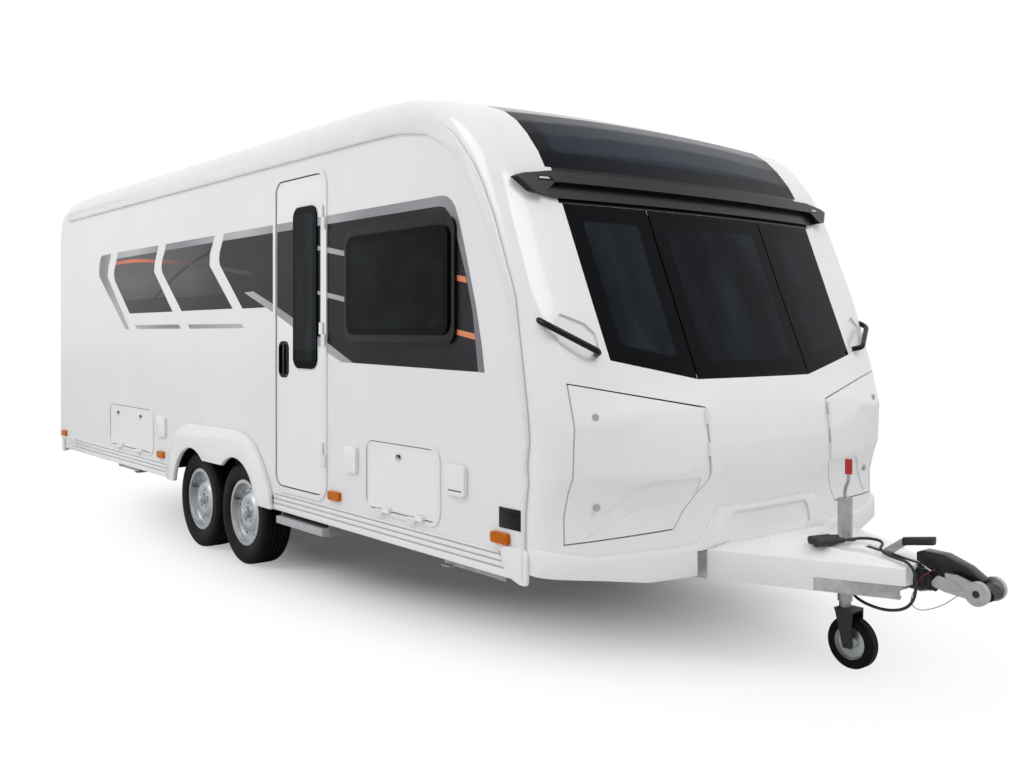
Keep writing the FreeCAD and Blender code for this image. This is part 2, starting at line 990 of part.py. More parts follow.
def tail_panel():
    panel = band(0, ROOF_FIRST, 0, d.wall_thick)
    land = d.window_land
    hole = prism_x(rectangle(-(d.back_window_half - land), d.back_window_half - land,
                             d.back_window_low + land, d.back_window_high - land),
                   -(d.body_tail + d.overrun * 2), -(d.body_tail - d.wall_thick * 4))
    node("rear_panel", feature(panel.cut(hole)))


def roof_panel():
    roof = band(ROOF_FIRST, CAP_FIRST, 0, d.wall_thick)
    for x in roof_light_places():
        half = d.roof_light_side / 2 - d.window_land
        hole = prism_z(rectangle(x - half, x + half, -half, half),
                       d.roof_height - d.wall_thick * 4, d.roof_height + d.overrun)
        roof = roof.cut(hole)
    node("roof_panel", feature(roof))


def roof_light_places():
    return [-(d.body_tail * 0.62), -(d.body_tail * 0.08)]


def pane_outline(inset, left=None, right=None):
    """The front windows' outline, drawn in by an inset; left and right cut it into panes."""
    corners = [
        (-(d.pane_half - inset), d.pane_high - inset),
        (d.pane_half - inset, d.pane_high - inset),
        (d.pane_end_half - inset, d.pane_end_low + inset),
        (d.pane_divider, d.pane_low + inset),
        (-d.pane_divider, d.pane_low + inset),
        (-(d.pane_end_half - inset), d.pane_end_low + inset),
    ]
    block = prism_x(corners, d.cap_joint, nose_end)
    if left is not None:
        limit = prism_x(rectangle(left, right, d.pane_low - d.overrun, d.pane_high + d.overrun),
                        d.cap_joint, nose_end)
        block = block.common(limit)
    return block


def roof_glass_outline(inset):
    """The roof window's outline: low edge on the face, top edge on the roof."""
    half = d.roof_glass_half - inset
    block = prism_z(rectangle(d.roof_glass_top + inset, nose_end, -half, half),
                    d.roof_glass_low + inset, d.roof_height + d.overrun)
    return block


def gas_door_outline(inset, way):
    """One front locker door's outline; way -1 is the right door, 1 the left one."""
    corners = [
        (d.gas_door_inner + inset, d.gas_door_high - inset),
        (d.gas_door_outer - inset, d.gas_door_outer_high - inset),
        (d.gas_door_outer - inset, d.gas_door_outer_low + inset),
        (d.gas_door_foot + inset / 2, d.gas_door_low + inset),
        (d.gas_door_inner + inset, d.gas_door_knee),
    ]
    return prism_x([(y * way, z) for y, z in corners], d.gas_bulkhead, nose_end)


def rebate(outer, inner, low, high):
    """What is cut for a pane: a shallow seat and the opening inside it."""
    skin = nose_band(low, high, -d.overrun, d.pane_thick + d.glass_seat)
    return [outer.common(skin), inner]


def front_panel():
    panel = band(CAP_FIRST, NOSE_FOOT, 0, d.wall_thick)
    cutters = rebate(pane_outline(0), pane_outline(d.pane_land), d.pane_low, d.pane_high)
    cutters += rebate(roof_glass_outline(0), roof_glass_outline(d.pane_land), d.roof_glass_low, d.roof_height)
    cutters += [gas_door_outline(0, -1), gas_door_outline(0, 1)]
    cutters += handle_scoops()
    for cutter in cutters:
        panel = panel.cut(cutter)
    for way in (-1, 1):
        for eye in gas_hinge_eyes(way, True):
            panel = panel.fuse(eye)
    node("front_panel", feature(panel))


def handle_scoops(clear=0.0):
    """The shallow hollows behind the grab handles."""
    low, high = d.handle_scoop_low, d.handle_scoop_high
    dent = nose_band(low, high, -d.overrun, d.handle_scoop_depth + clear)
    inner, outer = d.handle_scoop_inner, d.handle_scoop_outer
    bevel = d.corner_radius * 0.4
    scoops = []
    for way in (-1, 1):
        corners = [(inner * way, low + bevel), ((inner + bevel) * way, low), ((outer - bevel) * way, low + bevel),
                   (outer * way, low + bevel * 2), (outer * way, high - bevel), ((outer - bevel) * way, high),
                   ((inner + bevel) * way, high - bevel), (inner * way, high - bevel * 2)]
        scoops.append(prism_x(corners, d.gas_bulkhead, nose_end).common(dent))
    return scoops


def front_glass():
    skin = nose_band(d.pane_low, d.pane_high, 0, d.pane_thick)
    roof_skin = nose_band(d.roof_glass_low, d.roof_height, 0, d.pane_thick)
    edge = d.glass_seat
    gap = d.pane_gap / 2
    cuts = [(-d.pane_half, -(d.pane_divider + gap)), (-(d.pane_divider - gap), d.pane_divider - gap),
            (d.pane_divider + gap, d.pane_half)]
    panes = [pane_outline(edge, left, right).common(skin) for left, right in cuts]
    node("front_windows", feature(Part.makeCompound(panes)))
    node("roof_window", feature(roof_glass_outline(edge).common(roof_skin)))


# Front locker doors and their hinges


def gas_hinge_line():
    """Two places on the hinge axis: at the crease and at the door's top."""
    y = float(d.gas_door_inner + d.gas_door_gap / 2)
    low = surface_point(y, float(d.crease_height))
    high = surface_point(y, float(d.gas_door_high))
    stand = float(d.hinge_stand)
    return Vector(low + stand, y, float(d.crease_height)), Vector(high + stand, y, float(d.gas_door_high))


def surface_point(y, z):
    """How far forward the front face lies at a height and distance from the middle."""
    best = None
    for first, second in zip(STATIONS[CAP_FIRST:], STATIONS[CAP_FIRST + 1:]):
        if second.z <= z <= first.z:
            share = (first.z - z) / (first.z - second.z)
            x = first.x + share * (second.x - first.x)
            crown = first.crown + share * (second.crown - first.crown)
            best = x - (crown - math.sqrt(crown ** 2 - y ** 2))
    return best


def gas_hinge_eyes(way, fixed):
    """Slim eyes on the hinge axis, by turns on the panel and on the door."""
    low, high = gas_hinge_line()
    along = (high - low).normalize()
    length = float(d.hinge_length)
    eyes = []
    for share in (0.06, 0.52):
        start = low + (high - low) * share
        if not fixed:
            start = start + along * (length + float(d.hinge_gap))
        start = Vector(start.x, way * start.y, start.z)
        direction = Vector(along.x, 0, along.z)
        barrel = Part.makeCylinder(float(d.hinge_radius) * 0.8, length, start, direction)
        reach = float(d.hinge_stand) + float(d.gas_door_thick) / 2
        width = float(d.gas_door_gap) * 2
        sign = -way if fixed else way
        y = start.y if sign > 0 else start.y - width
        margin = float(d.hinge_gap) * 4
        leaf = Part.makeBox(reach, width, length - margin * 2, Vector(start.x - reach, y, start.z + margin))
        eyes.append(barrel.fuse(leaf))
    return eyes


# The wave pressed into each front locker door, as shares of the door's width and of the height
# from its foot to the crease
WAVE_SHARES = [
    (0.86, 0.08), (0.76, 0.37), (0.65, 0.67), (0.56, 0.87), (0.43, 0.955), (0.065, 0.955), (0.065, 0.72),
    (0.18, 0.575), (0.45, 0.53), (0.63, 0.34),
]


def wave_block(way):
    width = d.gas_door_outer - d.gas_door_inner
    rise = d.crease_height - d.gas_door_outer_low
    corners = [((d.gas_door_inner + width * across) * way, d.gas_door_outer_low + rise * up)
               for across, up in WAVE_SHARES]
    return prism_x(corners, d.gas_bulkhead, nose_end)


def gas_locks(way):
    """Two round locks near a front locker door's outer edge, each standing on the surface."""
    locks = []
    for across, up in ((0.855, 0.79), (0.80, 0.225)):
        y = float(d.gas_door_inner + (d.gas_door_outer - d.gas_door_inner) * across)
        z = float(d.gas_door_outer_low + (d.gas_door_outer_high - d.gas_door_outer_low) * up)
        x = surface_point(y, z)
        ahead = surface_point(y + float(d.gas_lock_radius), z)
        lean = math.atan2(x - ahead, float(d.gas_lock_radius))
        out = Vector(math.cos(lean), way * math.sin(lean), 0)
        start = Vector(x, way * y, z) - out * (float(d.gas_door_thick) / 2)
        length = float(d.gas_door_thick) / 2 + float(d.gas_lock_proud)
        locks.append(Part.makeCylinder(float(d.gas_lock_radius), length, start, out))
    return locks


def gas_doors():
    skin = nose_band(d.gas_door_outer_low, d.gas_door_outer_high, 0, d.gas_door_thick)
    dent = nose_band(d.gas_door_outer_low, d.crease_height, -d.overrun, d.wave_depth)
    for name, way in (("gas_door_right", -1), ("gas_door_left", 1)):
        door = gas_door_outline(d.gas_door_gap, way).common(skin)
        door = door.cut(wave_block(way).common(dent))
        for extra in gas_hinge_eyes(way, False) + gas_locks(way):
            door = door.fuse(extra)
        node(name, feature(door))


def gas_locker():
    """The bulkhead, shelf and floor behind the front locker doors."""
    half = wall_inside - d.glass_seat
    sheet = d.gas_sheet
    bulkhead = box(d.gas_bulkhead, -half, floor_top, sheet, half * 2, d.gas_shelf - floor_top)
    front = d.nose_tip - d.corner_radius * 3
    corner = d.corner_radius * 2
    body = new_body()
    corners = [(d.gas_bulkhead, -half), (front - corner, -half), (front, -(half - corner)), (front, half - corner),
               (front - corner, half), (d.gas_bulkhead, half)]
    pad(body, outline(body, "XY_Plane", corners, d.gas_shelf), sheet)
    node("gas_locker_box", fuse(bulkhead, body))


# Floor, skirts, rails and arches


def floor_panel():
    half = wall_inside - d.glass_seat
    front = d.nose_tip - d.corner_radius * 3
    tail = -(d.body_tail - d.wall_thick * 2)
    body = new_body()
    corners = [(tail, -half), (front - d.corner_radius, -half), (front, -(half - d.corner_radius * 3)),
               (front, half - d.corner_radius * 3), (front - d.corner_radius, half), (tail, half)]
    pad(body, outline(body, "XY_Plane", corners, d.body_low), d.floor_thick)
    for way in (-1, 1):
        inner = (wall_inside - box_depth() - d.glass_seat) * way
        outer = (side + d.overrun) * way
        low, high = (outer, inner) if way < 0 else (inner, outer)
        hole = outline(body, "XY_Plane", rectangle(box_tail() - d.glass_seat, box_front() + d.glass_seat, low, high),
                       floor_top + d.overrun)
        pocket(body, hole, d.floor_thick + d.overrun * 2)
    node("floor", body)


def box_depth():
    return d.tyre_width + d.arch_proud * 2


def box_tail():
    return -(d.front_axle + d.axle_spacing + d.tyre_radius + d.arch_proud * 2)


def box_front():
    return -(d.front_axle - d.tyre_radius - d.arch_proud * 2)


def wheel_boxes():
    """Half tunnels inside the body that close the space above each pair of wheels."""
    sheet = d.gas_sheet / 2
    body = new_body()
    pad(body, outline(body, "XZ_Plane", box_outline(0, d.body_low), wall_inside - box_depth()),
        box_depth() - d.glass_seat)
    sketch = outline(body, "XZ_Plane", box_outline(sheet, d.body_low - d.overrun), wall_inside + d.overrun)
    pocket(body, sketch, box_depth() + d.overrun - sheet)
    node("wheel_boxes", group(body, mirrored(body)))


def skirt_piece(tail, front, slant):
    """One stretch of the side skirt with its three ribs."""
    start = side
    corners = [(tail, d.skirt_low), (front + slant, d.skirt_low), (front, d.skirt_high), (tail, d.skirt_high)]
    body = new_body()
    pad(body, outline(body, "XZ_Plane", corners, start + d.glass_seat), d.skirt_proud)
    rise = d.skirt_high - d.skirt_low
    for share in (0.32, 0.58, 0.84):
        low = d.skirt_low + rise * share
        groove = outline(body, "XZ_Plane", rectangle(tail - d.overrun, front + slant + d.overrun,
                                                      low, low + rise * 0.07),
                         start + d.glass_seat + d.skirt_proud)
        pocket(body, groove, d.skirt_proud * 0.4)
    return body


def skirts():
    gap = d.glass_seat
    tail = skirt_piece(-(d.body_tail - d.bumper_wrap - d.corner_radius), -(d.arch_tail + gap), 0)
    front = skirt_piece(d.arch_front + gap, d.skirt_front, d.corner_radius * 0.9)
    node("skirts", group(tail, front, mirrored(tail), mirrored(front)))


def arch_outline():
    """The moulding's outer outline, as shares of its length and height."""
    length = d.arch_front + d.arch_tail
    rise = d.arch_high - d.arch_low
    shares = [(0.012, 0.0), (0.0, 0.14), (0.035, 0.48), (0.102, 0.77), (0.168, 0.90), (0.264, 0.99),
              (0.69, 1.0), (0.769, 0.965), (0.829, 0.885), (0.879, 0.745), (0.928, 0.54), (0.976, 0.285), (1.0, 0.0)]
    return [(-d.arch_tail + length * along, d.arch_low + rise * up) for along, up in shares]


def arch_mouths():
    """Two round wheel openings joined by a web that hangs down between them."""
    start, end = -(side + d.arch_proud + d.overrun), -(side - d.overrun)
    web_low = d.arch_mouth - d.arch_proud * 2
    cutters = []
    for axle in (0, 1):
        x = -(d.front_axle + d.axle_spacing * axle)
        z = d.arch_mouth - d.arch_mouth_radius
        place_3d = Vector(float(x), float(start), float(z))
        cutters.append(Part.makeCylinder(float(d.arch_mouth_radius), float(end - start), place_3d, Vector(0, 1, 0)))
    middle = prism_y(rectangle(-(d.front_axle + d.axle_spacing), -d.front_axle, d.arch_low - d.overrun, web_low),
                     start, end)
    return cutters + [middle]


def wheel_arches():
    start, end = -(side + d.arch_proud), -(side + d.glass_seat)
    moulding = prism_y(arch_outline(), start, end)
    for cutter in arch_mouths():
        moulding = moulding.cut(cutter)
    moulding = moulding.removeSplitter()
    twin = moulding.mirror(Vector(0, 0, 0), Vector(0, 1, 0))
    node("wheel_arches", feature(Part.makeCompound([moulding, twin])))


# How the corner trim narrows from the roof rail to the nose's foot, as shares of the rail's width
TRIM_SHARES = [
    1.0, 1.0, 1.0, 1.0, 1.0, 0.97, 0.94, 0.90, 0.86, 0.82,
    0.78, 0.60, 0.38, 0.36, 0.33, 0.30, 0.27, 0.24, 0.22, 0.19,
]


def awning_rails():
    """The rail along the roof edge and the trim that runs down the nose's corner."""
    outer, inner = [], []
    first = ROOF_FIRST - 1
    for index in range(first, len(STATIONS)):
        share = TRIM_SHARES[max(index - ROOF_FIRST, 0)]
        station = STATIONS[index]
        outer.append(station.ridge())
        inner.append(station.ridge(float(d.rail_width) * share))
    outer[-1].z = inner[-1].z = float(d.skirt_low)
    corners = [(point.x, point.z) for point in outer + inner[::-1]]
    rail = prism_y(corners, -(side + d.rail_proud), -(side + d.glass_seat))
    twin = rail.mirror(Vector(0, 0, 0), Vector(0, 1, 0))
    node("awning_rails", feature(Part.makeCompound([rail, twin])))


# Windows, visor and fittings on the body


def bulged_window(tail, front, low, high):
    """An acrylic window: a frame on the wall, a proud pane with three ribs along its top, and a plug inside."""
    start = side + d.glass_seat
    frame = d.window_frame
    body = new_body()
    pad(body, outline(body, "XZ_Plane", rectangle(tail, front, low, high), start), d.window_frame_proud)
    pad(body, outline(body, "XZ_Plane", rectangle(tail + frame, front - frame, low + frame, high - frame), start),
        d.window_proud)
    rounded(body, d.window_corner, (0, 1, 0))
    rib = d.window_rib
    sketch = outline(body, "XZ_Plane", rectangle(tail + frame * 2, front - frame * 2, high - frame + rib * 2,
                                                 high - frame + rib * 3), start)
    ribs = pad(body, sketch, d.window_frame_proud + rib)
    row_of(body, ribs, sketch, "V_Axis", frame - rib * 6, 3)
    body.Tip = body.Group[-1]
    plug = plate("XZ_Plane", rectangle(tail + d.window_land + d.glass_seat, front - d.window_land - d.glass_seat,
                                       low + d.window_land + d.glass_seat, high - d.window_land - d.glass_seat),
                 wall_inside, d.wall_thick + d.window_land / 2, d.window_corner - d.window_land / 2 - d.glass_seat)
    return fuse(body, plug)


def body_windows():
    front = bulged_window(d.window_tail, d.window_front, d.window_low, d.window_high)
    kitchen = bulged_window(d.kitchen_tail, d.kitchen_front, d.kitchen_low, d.kitchen_high)
    washroom = bulged_window(-d.washroom_tail, -d.washroom_front, d.kitchen_low, d.kitchen_high)
    half = d.back_window_half
    back = plate("YZ_Plane", rectangle(-half, half, d.back_window_low, d.back_window_high),
                 -(d.body_tail + d.window_proud / 2), d.window_proud / 2 - d.glass_seat, d.window_corner, (1, 0, 0))
    node("body_windows", group(front, mirrored(front), mirrored(kitchen), mirrored(washroom), back))


def visor():
    """The dark wing across the front above the windows, hollowed below its upper lip."""
    low = d.visor_low - d.pane_land
    skin = nose_band(low, d.visor_high, -d.visor_proud, -d.glass_seat)
    end, sweep = d.visor_half, d.visor_sweep
    corners = [(-end, d.visor_low + sweep), (-(end - sweep), d.visor_low), (-(end - sweep * 3), low),
               (end - sweep * 3, low), (end - sweep, d.visor_low), (end, d.visor_low + sweep),
               (end - sweep / 2, d.visor_high - d.pane_land), (end - sweep * 3, d.visor_high),
               (-(end - sweep * 3), d.visor_high), (-(end - sweep / 2), d.visor_high - d.pane_land)]
    wing = prism_x(corners, d.cap_joint, nose_end).common(skin)
    hollow = nose_band(low, d.visor_high, -(d.visor_proud + d.overrun), -d.visor_scoop_proud)
    reach = end - sweep * 2
    mouth = [(-reach, low - d.overrun), (reach, low - d.overrun), (reach, d.visor_low),
             (reach - sweep, d.visor_scoop_high), (-(reach - sweep), d.visor_scoop_high), (-reach, d.visor_low)]
    wing = wing.cut(prism_x(mouth, d.cap_joint, nose_end).common(hollow))
    node("visor", feature(wing))


def tube_along(points, radius):
    """A bent round bar whose corners are arcs, from a list of places."""
    return bar(points, radius, [None] * len(points))


def bar(points, radius, bends):
    edges, last = [], points[0]
    for index in range(1, len(points) - 1):
        before, corner, after = points[index - 1], points[index], points[index + 1]
        into = (corner - before).normalize()
        out = (after - corner).normalize()
        turn_angle = into.getAngle(out)
        run = min((corner - before).Length, (after - corner).Length)
        bend = bends[index] or 0.45 * run / math.tan(turn_angle / 2)
        setback = bend * math.tan(turn_angle / 2)
        start, end = corner - into * setback, corner + out * setback
        middle_way = (out - into).normalize()
        middle = corner + middle_way * (bend / math.cos(turn_angle / 2) - bend)
        edges.append(Part.makeLine(last, start))
        edges.append(Part.Arc(start, middle, end).toShape())
        last = end
    edges.append(Part.makeLine(last, points[-1]))
    path = Part.Wire(edges)
    ring = Part.Wire([Part.makeCircle(float(radius), points[0], points[1] - points[0])])
    return path.makePipeShell([ring], True, False)


def grab_handles():
    """A bent bar on each front corner, above the locker doors."""
    inner_x = surface_point(float(d.handle_inner), float(d.handle_low))
    outer_x = surface_point(float(d.handle_outer) - float(d.corner_radius) * 0.6, float(d.handle_high))
    stand = float(d.handle_stand)
    foot = float(d.handle_radius) * 2
    skin = nose_band(d.handle_scoop_low, d.handle_scoop_high, -d.glass_seat, d.wall_thick)
    for scoop in handle_scoops(-d.glass_seat):
        skin = skin.cut(scoop)
    handles = []
    for way in (-1, 1):
        inner = Vector(inner_x + stand, way * float(d.handle_inner), float(d.handle_low))
        outer = Vector(outer_x + stand * 0.3, way * float(d.handle_outer), float(d.handle_high))
        foot_inner = inner + Vector(-stand + foot * 0.1, -way * foot, -foot * 0.4)
        foot_outer = outer + Vector(-stand * 1.5, way * 0.2 * foot, foot)
        bent = tube_along([foot_inner, inner, outer, foot_outer], d.handle_radius).cut(skin)
        handles.append(max(bent.Solids, key=lambda solid: solid.Volume))
    node("grab_handles", feature(Part.makeCompound(handles)))





MARKER_SHARES = [(-0.951, 1.11), (-0.364, 1.155), (0.265, 1.179), (0.621, 1.175)]


def marker_lamps():
    """Orange side lamps above the skirt."""
    lamps = []
    for along, up in MARKER_SHARES:
        x = d.body_tail * along
        z = d.body_low * up
        lamp = plate("XZ_Plane", rectangle(x - d.marker_length / 2, x + d.marker_length / 2,
                                           z - d.marker_height / 2, z + d.marker_height / 2),
                     side + d.glass_seat, d.marker_proud, d.marker_height / 4)
        lamps += [lamp, mirrored(lamp)]
    bumper = band_down(-d.fairing_proud, d.fairing_thick)
    nose = band(NOSE_FOOT - 2, NOSE_FOOT, -d.fairing_proud, d.wall_thick)
    lamps += [feature(lamp) for lamp in front_lamps(bumper.fuse(nose))]
    node("marker_lamps", group(*lamps))


def rear_lamps():
    """Tall lamp units that follow the rear corners."""
    skin = band(0, ROOF_FIRST, -d.marker_proud, -d.glass_seat)
    low, high = d.roof_height * 0.30, d.roof_height * 0.42
    lamps = []
    for way in (-1, 1):
        inner, outer = (side - d.corner_radius * 2.2) * way, (side - d.corner_radius * 0.6) * way
        block = prism_x(rectangle(inner, outer, low, high), -(d.body_tail + d.overrun * 2),
                        -(d.body_tail - d.tail_round))
        lamps.append(block.common(skin))
    node("rear_lamps", feature(Part.makeCompound(lamps)))


def service_hatches():
    """White service boxes on the walls, a louvred vent and the blank plate near the nose."""
    start = side + d.glass_seat
    hatches = []
    for tail, front, low, high in ((d.filler_tail, d.filler_front, d.filler_low, d.filler_high),
                                   (-d.socket_tail, -d.socket_front, d.socket_low, d.socket_high)):
        hatch = plate("XZ_Plane", rectangle(tail, front, low, high), start, d.hatch_proud, d.hatch_proud)
        hatches += [hatch, mirrored(hatch)]
    vent = new_body()
    tail, front, low, high = d.vent_tail, d.vent_front, d.vent_low, d.vent_high
    pad(vent, outline(vent, "XZ_Plane", rectangle(tail, front, low, high), start), d.hatch_proud)
    rounded(vent, d.hatch_proud, (0, 1, 0))
    pitch = (high - low - d.hatch_proud * 2) / d.louvre_count
    first = low + d.hatch_proud
    slot = outline(vent, "XZ_Plane", rectangle(tail + d.hatch_proud, front - d.hatch_proud, first, first + pitch / 2),
                   start + d.hatch_proud)
    louvre = pocket(vent, slot, d.louvre_depth)
    row_of(vent, louvre, slot, "V_Axis", pitch * (d.louvre_count - 1), d.louvre_count)
    blank = plate("XZ_Plane", rectangle(d.plate_tail, d.plate_front, d.plate_low, d.plate_high), start, d.plate_thick)
    node("service_hatches", group(vent, mirrored(vent), blank, *hatches))


def rooflights():
    lights = []
    for x in roof_light_places():
        half = d.roof_light_side / 2
        lamp = plate("XY_Plane", rectangle(x - half, x + half, -half, half), d.roof_height + d.glass_seat,
                     d.roof_light_proud, d.window_corner, (0, 0, 1))
        lights.append(lamp)
    node("rooflights", group(*lights))


# Fairing and rear bumper


def band_down(outer, inner):
    """The nose's foot carried straight down to the bottom of the fairing."""
    foot = STATIONS[NOSE_FOOT]
    top = foot.section(float(outer), float(inner))
    low = top.copy()
    low.translate(Vector(0, 0, float(d.fairing_low - d.body_low)))
    return Part.makeLoft([top, low], True, True)


def fairing_outline(drop):
    """The bumper's outline seen from the front: level at the sides, raised over the drawbar."""
    low, high, peak = d.fairing_low - d.overrun, d.fairing_high - drop, d.fairing_peak - drop
    notch, top, end = d.fairing_notch_half - drop / 2, d.fairing_peak_half - drop / 2, side
    bend = d.bumper_lamp_place - d.corner_radius * 1.5
    half = [(bend * 0.85, d.fairing_low), (bend + d.corner_radius * 0.8, (d.fairing_low + d.fairing_side_low) / 2),
            (end, d.fairing_side_low), (end, d.fairing_side_high - drop), (bend + d.corner_radius, high),
            (notch + d.fairing_lip * 4, high), (notch, high + d.fairing_lip), (top, peak - d.fairing_lip),
            (top - d.fairing_lip * 2, peak)]
    other = [(-y, z) for y, z in reversed(half)]
    return half + other


def rail_mouths():
    """Where the drawbar's two rails and its cover pass through the bumper."""
    x = d.nose_tip - d.nose_step
    half = rail_face(x - d.corner_radius) + d.cover_thick * 2
    top = d.drawbar_low + d.rail_height + d.cover_thick
    return prism_x([(-half, d.fairing_low - d.overrun), (half, d.fairing_low - d.overrun), (half, top), (-half, top)],
                   d.cap_joint, nose_end)


def front_fairing():
    """The moulded bumper: a band round the nose's foot that rises over the drawbar, hollowed in the middle."""
    low = band_down(-d.fairing_proud, d.fairing_thick)
    high = band(NOSE_FOOT - 2, NOSE_FOOT, -d.fairing_proud, -d.glass_seat)
    shell = low.fuse(high)
    lip = band(NOSE_FOOT - 2, NOSE_FOOT, -(d.fairing_proud - d.fairing_lip), -d.glass_seat)
    face = prism_x(fairing_outline(d.fairing_lip), d.cap_joint, nose_end)
    rim_face = prism_x(fairing_outline(0), d.cap_joint, nose_end)
    bumper = shell.common(face).fuse(lip.common(rim_face))
    bevel = d.scoop_depth * 2
    half, bottom, top = d.scoop_half, d.scoop_low, d.scoop_high
    corners = [(-half, bottom + bevel), (-(half - bevel), bottom), (half - bevel, bottom), (half, bottom + bevel),
               (half - bevel, top - bevel), (half - bevel * 2, top), (-(half - bevel * 2), top),
               (-(half - bevel), top - bevel)]
    dent = band(NOSE_FOOT - 2, NOSE_FOOT, -(d.fairing_proud + d.overrun), -(d.fairing_proud - d.scoop_depth))
    scoop = prism_x(corners, d.cap_joint, nose_end).common(dent)
    bumper = bumper.cut(scoop).cut(rail_mouths())
    node("front_fairing", feature(bumper))


def front_lamps(bumper):
    """Two round clear lamps in the bumper's ends, turned to stand on its surface."""
    foot = STATIONS[NOSE_FOOT]
    y, z = float(d.bumper_lamp_place), float(d.bumper_lamp_height)
    lamps = []
    for way in (-1, 1):
        lean = math.atan2(y - (float(side) - foot.corner), foot.corner)
        out = Vector(math.cos(lean), way * math.sin(lean), 0)
        corner_x = foot.x + foot.drop
        centre = Vector(corner_x, way * (float(side) - foot.corner), z)
        surface = foot.corner + float(d.fairing_proud)
        start = centre + out * (surface - float(d.bumper_lamp_radius))
        length = float(d.bumper_lamp_radius) + float(d.bumper_lamp_proud)
        lamp = Part.makeCylinder(float(d.bumper_lamp_radius), length, start, out).cut(bumper)
        lamps.append(max(lamp.Solids, key=lambda solid: solid.CenterOfMass.x * 1.0 + abs(solid.CenterOfMass.y)))
    return lamps


def rear_bumper():
    """A shallow bumper across the tail with its ends turned forwards."""
    tail = tail_end
    half = side - d.overrun
    body = new_body()
    outer = [(tail + d.bumper_wrap, -half), (tail + d.corner_radius / 2, -half), (tail, -(half - d.corner_radius)),
             (tail, half - d.corner_radius), (tail + d.corner_radius / 2, half), (tail + d.bumper_wrap, half)]
    thick = d.bumper_thick
    inner = [(tail + d.bumper_wrap, half - thick), (tail + d.corner_radius / 2 + thick, half - thick),
             (tail + thick, half - d.corner_radius), (tail + thick, -(half - d.corner_radius)),
             (tail + d.corner_radius / 2 + thick, -(half - thick)), (tail + d.bumper_wrap, -(half - thick))]
    pad(body, outline(body, "XY_Plane", outer + inner, d.bumper_low), d.body_low - d.glass_seat - d.bumper_low)
    node("rear_bumper", body)


# Chassis


def channel_rail(way):
    """A folded channel from the tail to the drawbar's tip, bent once where the drawbar starts."""
    y = float(d.rail_half_gauge) * way
    tip_y = float(d.drawbar_tip_half) * way
    points = [Vector(-float(d.rail_tail), y, 0), Vector(float(d.drawbar_bend), y, 0),
              Vector(float(d.drawbar_tip), tip_y, 0)]
    low, high = float(d.drawbar_low), float(d.drawbar_low + d.rail_height)
    flange, web = float(d.rail_flange) * way, float(d.rail_web)
    x = points[0].x
    corners = [(y, low), (y - flange, low), (y - flange, low + web), (y - web * way, low + web),
               (y - web * way, high - web), (y - flange, high - web), (y - flange, high), (y, high)]
    section = Part.makePolygon([Vector(x, u, v) for u, v in corners + corners[:1]])
    path = Part.makePolygon(points)
    return path.makePipeShell([section], True, False, 1)


def rail_face(x):
    """Half the distance between the drawbar rails' outer faces at a place ahead of the bend."""
    slope = (d.rail_half_gauge - d.drawbar_tip_half) / (d.drawbar_tip - d.drawbar_bend)
    return d.rail_half_gauge - (x - d.drawbar_bend) * slope


def chassis_rails():
    node("chassis_rails", feature(Part.makeCompound([channel_rail(-1), channel_rail(1)])))


def cross_members():
    """Round tubes that tie the two rails together, and the two jacking pads below the rails."""
    half = d.rail_half_gauge - d.rail_web - d.glass_seat
    z = d.drawbar_low + d.rail_height / 2
    tubes = []
    for share in (-0.88, -0.5, 0.25, 0.6):
        tubes.append(rod(d.cross_radius, half * 2, d.body_tail * share, -half, z, "y"))
    pad_top = d.drawbar_low - d.glass_seat
    for way in (-1, 1):
        inner = d.rail_half_gauge - d.rail_flange
        y = inner if way > 0 else -d.rail_half_gauge
        tubes.append(box(d.jack_pad_place, y, pad_top - d.jack_pad_height, d.jack_pad_length, d.rail_flange,
                         d.jack_pad_height))
    node("cross_members", group(*tubes))


def axles():
    """Each axle: a tube below the rails, a trailing arm and a brake drum at each end."""
    solids = []
    for axle in (0, 1):
        wheel_x = -(d.front_axle + d.axle_spacing * axle)
        tube_x = wheel_x + d.axle_lead
        tube_z = d.drawbar_low - d.axle_tube_radius - d.glass_seat
        half = d.wheel_track / 2 - d.tyre_width
        tube = rod(d.axle_tube_radius, half * 2, tube_x, -half, tube_z, "y")
        pieces = [tube]
        for way in (-1, 1):
            pieces += axle_end(wheel_x, tube_x, tube_z, half, way)
        solids.append(fuse(*pieces))
    node("axles", group(*solids))


def axle_end(wheel_x, tube_x, tube_z, half, way):
    """A trailing arm, a stub and a brake drum on one side."""
    reach = d.wheel_track / 2 + d.rim_offset - d.glass_seat
    arm_half = d.arm_thick / 2
    rise = d.tyre_radius
    arm = new_body()
    corners = [(wheel_x - arm_half, rise - arm_half), (tube_x, tube_z - d.arm_thick),
               (tube_x + arm_half, tube_z + arm_half), (wheel_x, rise + d.arm_thick)]
    start = (half - d.arm_thick) * -way if way > 0 else half - d.arm_thick
    if way > 0:
        start = -half
    pad(arm, outline(arm, "XZ_Plane", corners, start), d.arm_thick)
    drum_low = reach - d.drum_width - d.rim_offset / 2
    y_drum = drum_low if way > 0 else -(drum_low + d.drum_width)
    drum = rod(d.drum_radius, d.drum_width, wheel_x, y_drum, rise, "y")
    stub_low = half - d.arm_thick
    y_stub = stub_low if way > 0 else -reach
    stub = rod(d.hub_radius, reach - stub_low, wheel_x, y_stub, rise, "y")
    return [arm, drum, stub]


# Wheels


def wheels():
    for name, x in (("front", -d.front_axle), ("rear", -(d.front_axle + d.axle_spacing))):
        for hand, way in (("right", -1), ("left", 1)):
            y = d.wheel_track / 2 * way
            node("tyre_" + name + "_" + hand, tyre(x, y))
            node("rim_" + name + "_" + hand, rim(x, y, way))


